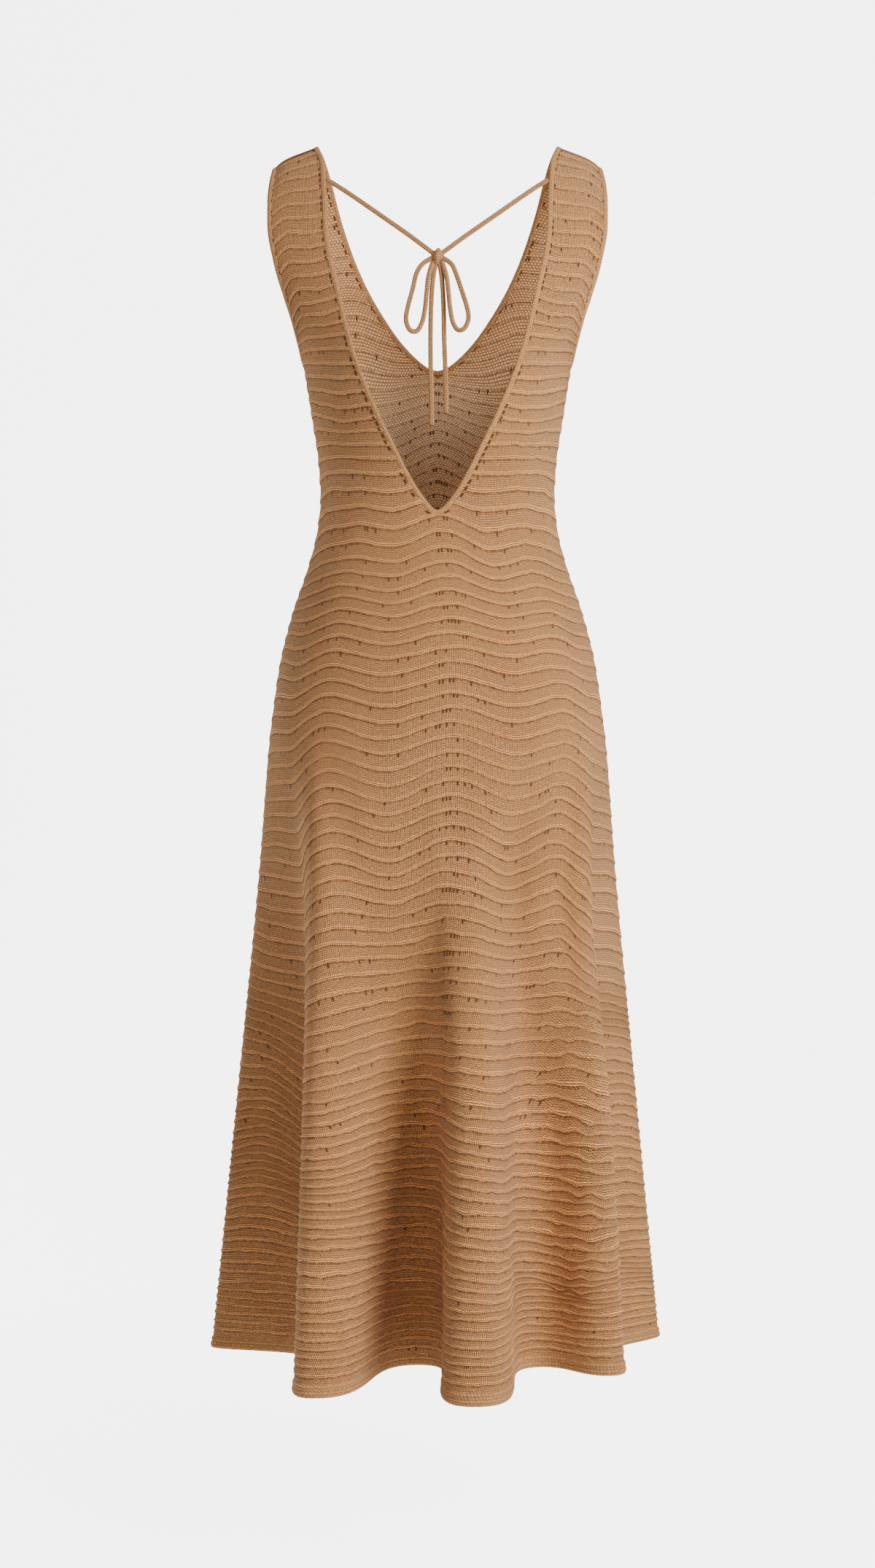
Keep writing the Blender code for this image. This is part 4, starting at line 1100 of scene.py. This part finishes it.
edge_material = stitched_material("chain_edging", EDGE_COLOUR, STOCKING, 0.0033, TRIM_CHAIN,
                                  0.0006, 0.95)
TRIMS = {       # node: name of the piece, its line, whether the line closes on itself
    "back_neck_trim": ("back_neck_edging", neck_line(BACK), False),
    "front_neck_trim": ("front_neck_edging", neck_line(FRONT), False),
    "armhole_trim_left": ("armhole_edging_left", armhole_line(-1.0), True),
    "armhole_trim_right": ("armhole_edging_right", armhole_line(1.0), True),
}
trims = {node: trim_piece(*given, edge_material) for node, given in TRIMS.items()}
for node, piece in trims.items():
    stand_for(piece, node)


# ================ hem
# Below the last welt the knitting ends in two rows of chain that stop it from curling, the
# lower one cast off in small knots that give the hem a beaded edge.

HEM_TOP = HEM_SEAM + 0.0012
HEM_PROFILE = {       # share of the way down the hem: millimetres that it stands out
    "share": (0.00, 0.14, 0.26, 0.38, 0.48, 0.58, 0.72, 0.86, 0.96, 1.00),
    "out": (-0.8, 0.6, 1.6, 1.3, 0.6, 1.4, 1.9, 1.6, 0.9, 0.0),
}
HEM_RELIEF = 0.00035
HEM_STITCH = 0.0034
HEM_COLUMNS = 1200


def hem_piece(panel, material):
    """The hem's two rows of chain, with the cloth's thickness behind them."""
    rows = np.array(HEM_PROFILE["share"])
    outs = np.array(HEM_PROFILE["out"]) * 0.001
    levels = HEM_TOP + rows * (HEM_EDGE - HEM_TOP)
    q = np.broadcast_to(np.linspace(-1.0, 1.0, HEM_COLUMNS + 1), (len(rows), HEM_COLUMNS + 1))
    level = np.broadcast_to(levels[:, None], q.shape)
    form = surface(panel, level, q)
    normal = outward(panel, level, q)
    along = travelled(form)
    phase = along / HEM_STITCH + rows[:, None] * 2.0
    lift = HEM_RELIEF * np.sin(2 * np.pi * phase) * np.sin(np.pi * rows)[:, None]
    outer = form + normal * (outs[:, None] + lift)[..., None]
    inner = form[::-1] - normal[::-1] * CLOTH
    points = np.concatenate([outer, inner])
    faces = grid_faces(numbered(points), closed_rows=True)
    faces = faces[:, ::-1] if panel["face"] > 0 else faces
    down = np.concatenate([levels, levels[::-1]])[:, None]
    return make_piece("hem_edging_" + panel["name"], points, faces,
                      laid(np.vstack([along, along[::-1]]), down, points), [material])


hem_material = stitched_material("hem_edging", EDGE_COLOUR, STOCKING, HEM_STITCH, 0.0030,
                                 0.0007, 0.95)
hems = {panel["name"]: hem_piece(panel, hem_material) for panel in (BACK, FRONT)}
for name, piece in hems.items():
    stand_for(piece, "hem_band_" + name)


# ================ studio
# A white paper sweep runs from the floor up the wall. One large soft light stands on the
# right, a weak one on the left, and one behind the dress on its left, which brightens that
# edge. The white room fills in the shadows.

FLOOR_LEVEL = -1.42
WALL_DISTANCE = 2.2
SWEEP_RADIUS = 1.0
SWEEP_REACH = 6.0
SWEEP_GLOW = 5.0
ROOM_LIGHT = 0.28


def sweep():
    """Floor and wall in one curved sheet, which can be seen through from behind."""
    bend = np.linspace(0.0, np.pi / 2, 24)
    y = np.concatenate([[-SWEEP_REACH], WALL_DISTANCE - SWEEP_RADIUS + SWEEP_RADIUS * np.sin(bend),
                        [WALL_DISTANCE]])
    z = np.concatenate([[FLOOR_LEVEL], FLOOR_LEVEL + SWEEP_RADIUS - SWEEP_RADIUS * np.cos(bend),
                        [FLOOR_LEVEL + SWEEP_REACH]])
    points = np.stack([np.stack([np.full_like(y, x), y, z], 1)
                       for x in (-SWEEP_REACH, SWEEP_REACH)])
    material, nodes, shader = new_material("studio_white", Roughness=0.9)
    place = nodes.add("ShaderNodeTexCoord", output="Object")
    tone = nodes.ramp(nodes.noise(place, 0.5), 0.2, 0.8)
    white = nodes.mix(tone, (0.93, 0.93, 0.93, 1.0), (0.95, 0.95, 0.95, 1.0))
    nodes.feed(shader.inputs["Base Color"], white)
    nodes.feed(shader.inputs["Emission Color"], white)
    seen = nodes.add("ShaderNodeLightPath", output="Is Camera Ray")
    nodes.feed(shader.inputs["Emission Strength"], seen * SWEEP_GLOW)
    from_behind = nodes.add("ShaderNodeNewGeometry", output="Backfacing")
    solid, clear = Value(nodes, shader.outputs[0]), nodes.add("ShaderNodeBsdfTransparent")
    see_through = nodes.add("ShaderNodeMixShader", (from_behind, solid, clear))
    output = material.node_tree.nodes["Material Output"]
    nodes.feed(output.inputs["Surface"], see_through)
    faces = grid_faces(numbered(points))[:, ::-1]
    return make_piece("studio_sweep", points, faces, points[..., :2], [material])


def soft_light(name, place, size, power, aim):
    """A rectangular light of some watts that is turned to a point."""
    light = bpy.data.lights.new(name, "AREA")
    light.shape = "RECTANGLE"
    light.size, light.size_y = size
    light.energy = power
    light.color = (1.0, 0.95, 0.86)
    lamp = placed(name, light)
    lamp.location = place
    lamp.rotation_euler = (Vector(aim) - Vector(place)).to_track_quat("-Z", "Y").to_euler()


sweep()
soft_light("key_light", (1.55, -1.55, 0.30), (1.1, 1.1), 68.0, (0.0, 0.0, -0.50))
soft_light("rim_light", (-1.55, 1.30, -0.85), (0.9, 1.2), 22.0, (0.0, 0.0, -0.75))
soft_light("fill_light", (-1.4, -0.9, 0.40), (0.8, 0.8), 3.5, (0.0, 0.0, -0.35))
world = bpy.data.worlds.new("white_room")
world.use_nodes = True
background = world.node_tree.nodes["Background"].inputs
background["Color"].default_value = (1.0, 1.0, 1.0, 1.0)
background["Strength"].default_value = ROOM_LIGHT
bpy.context.scene.world = world
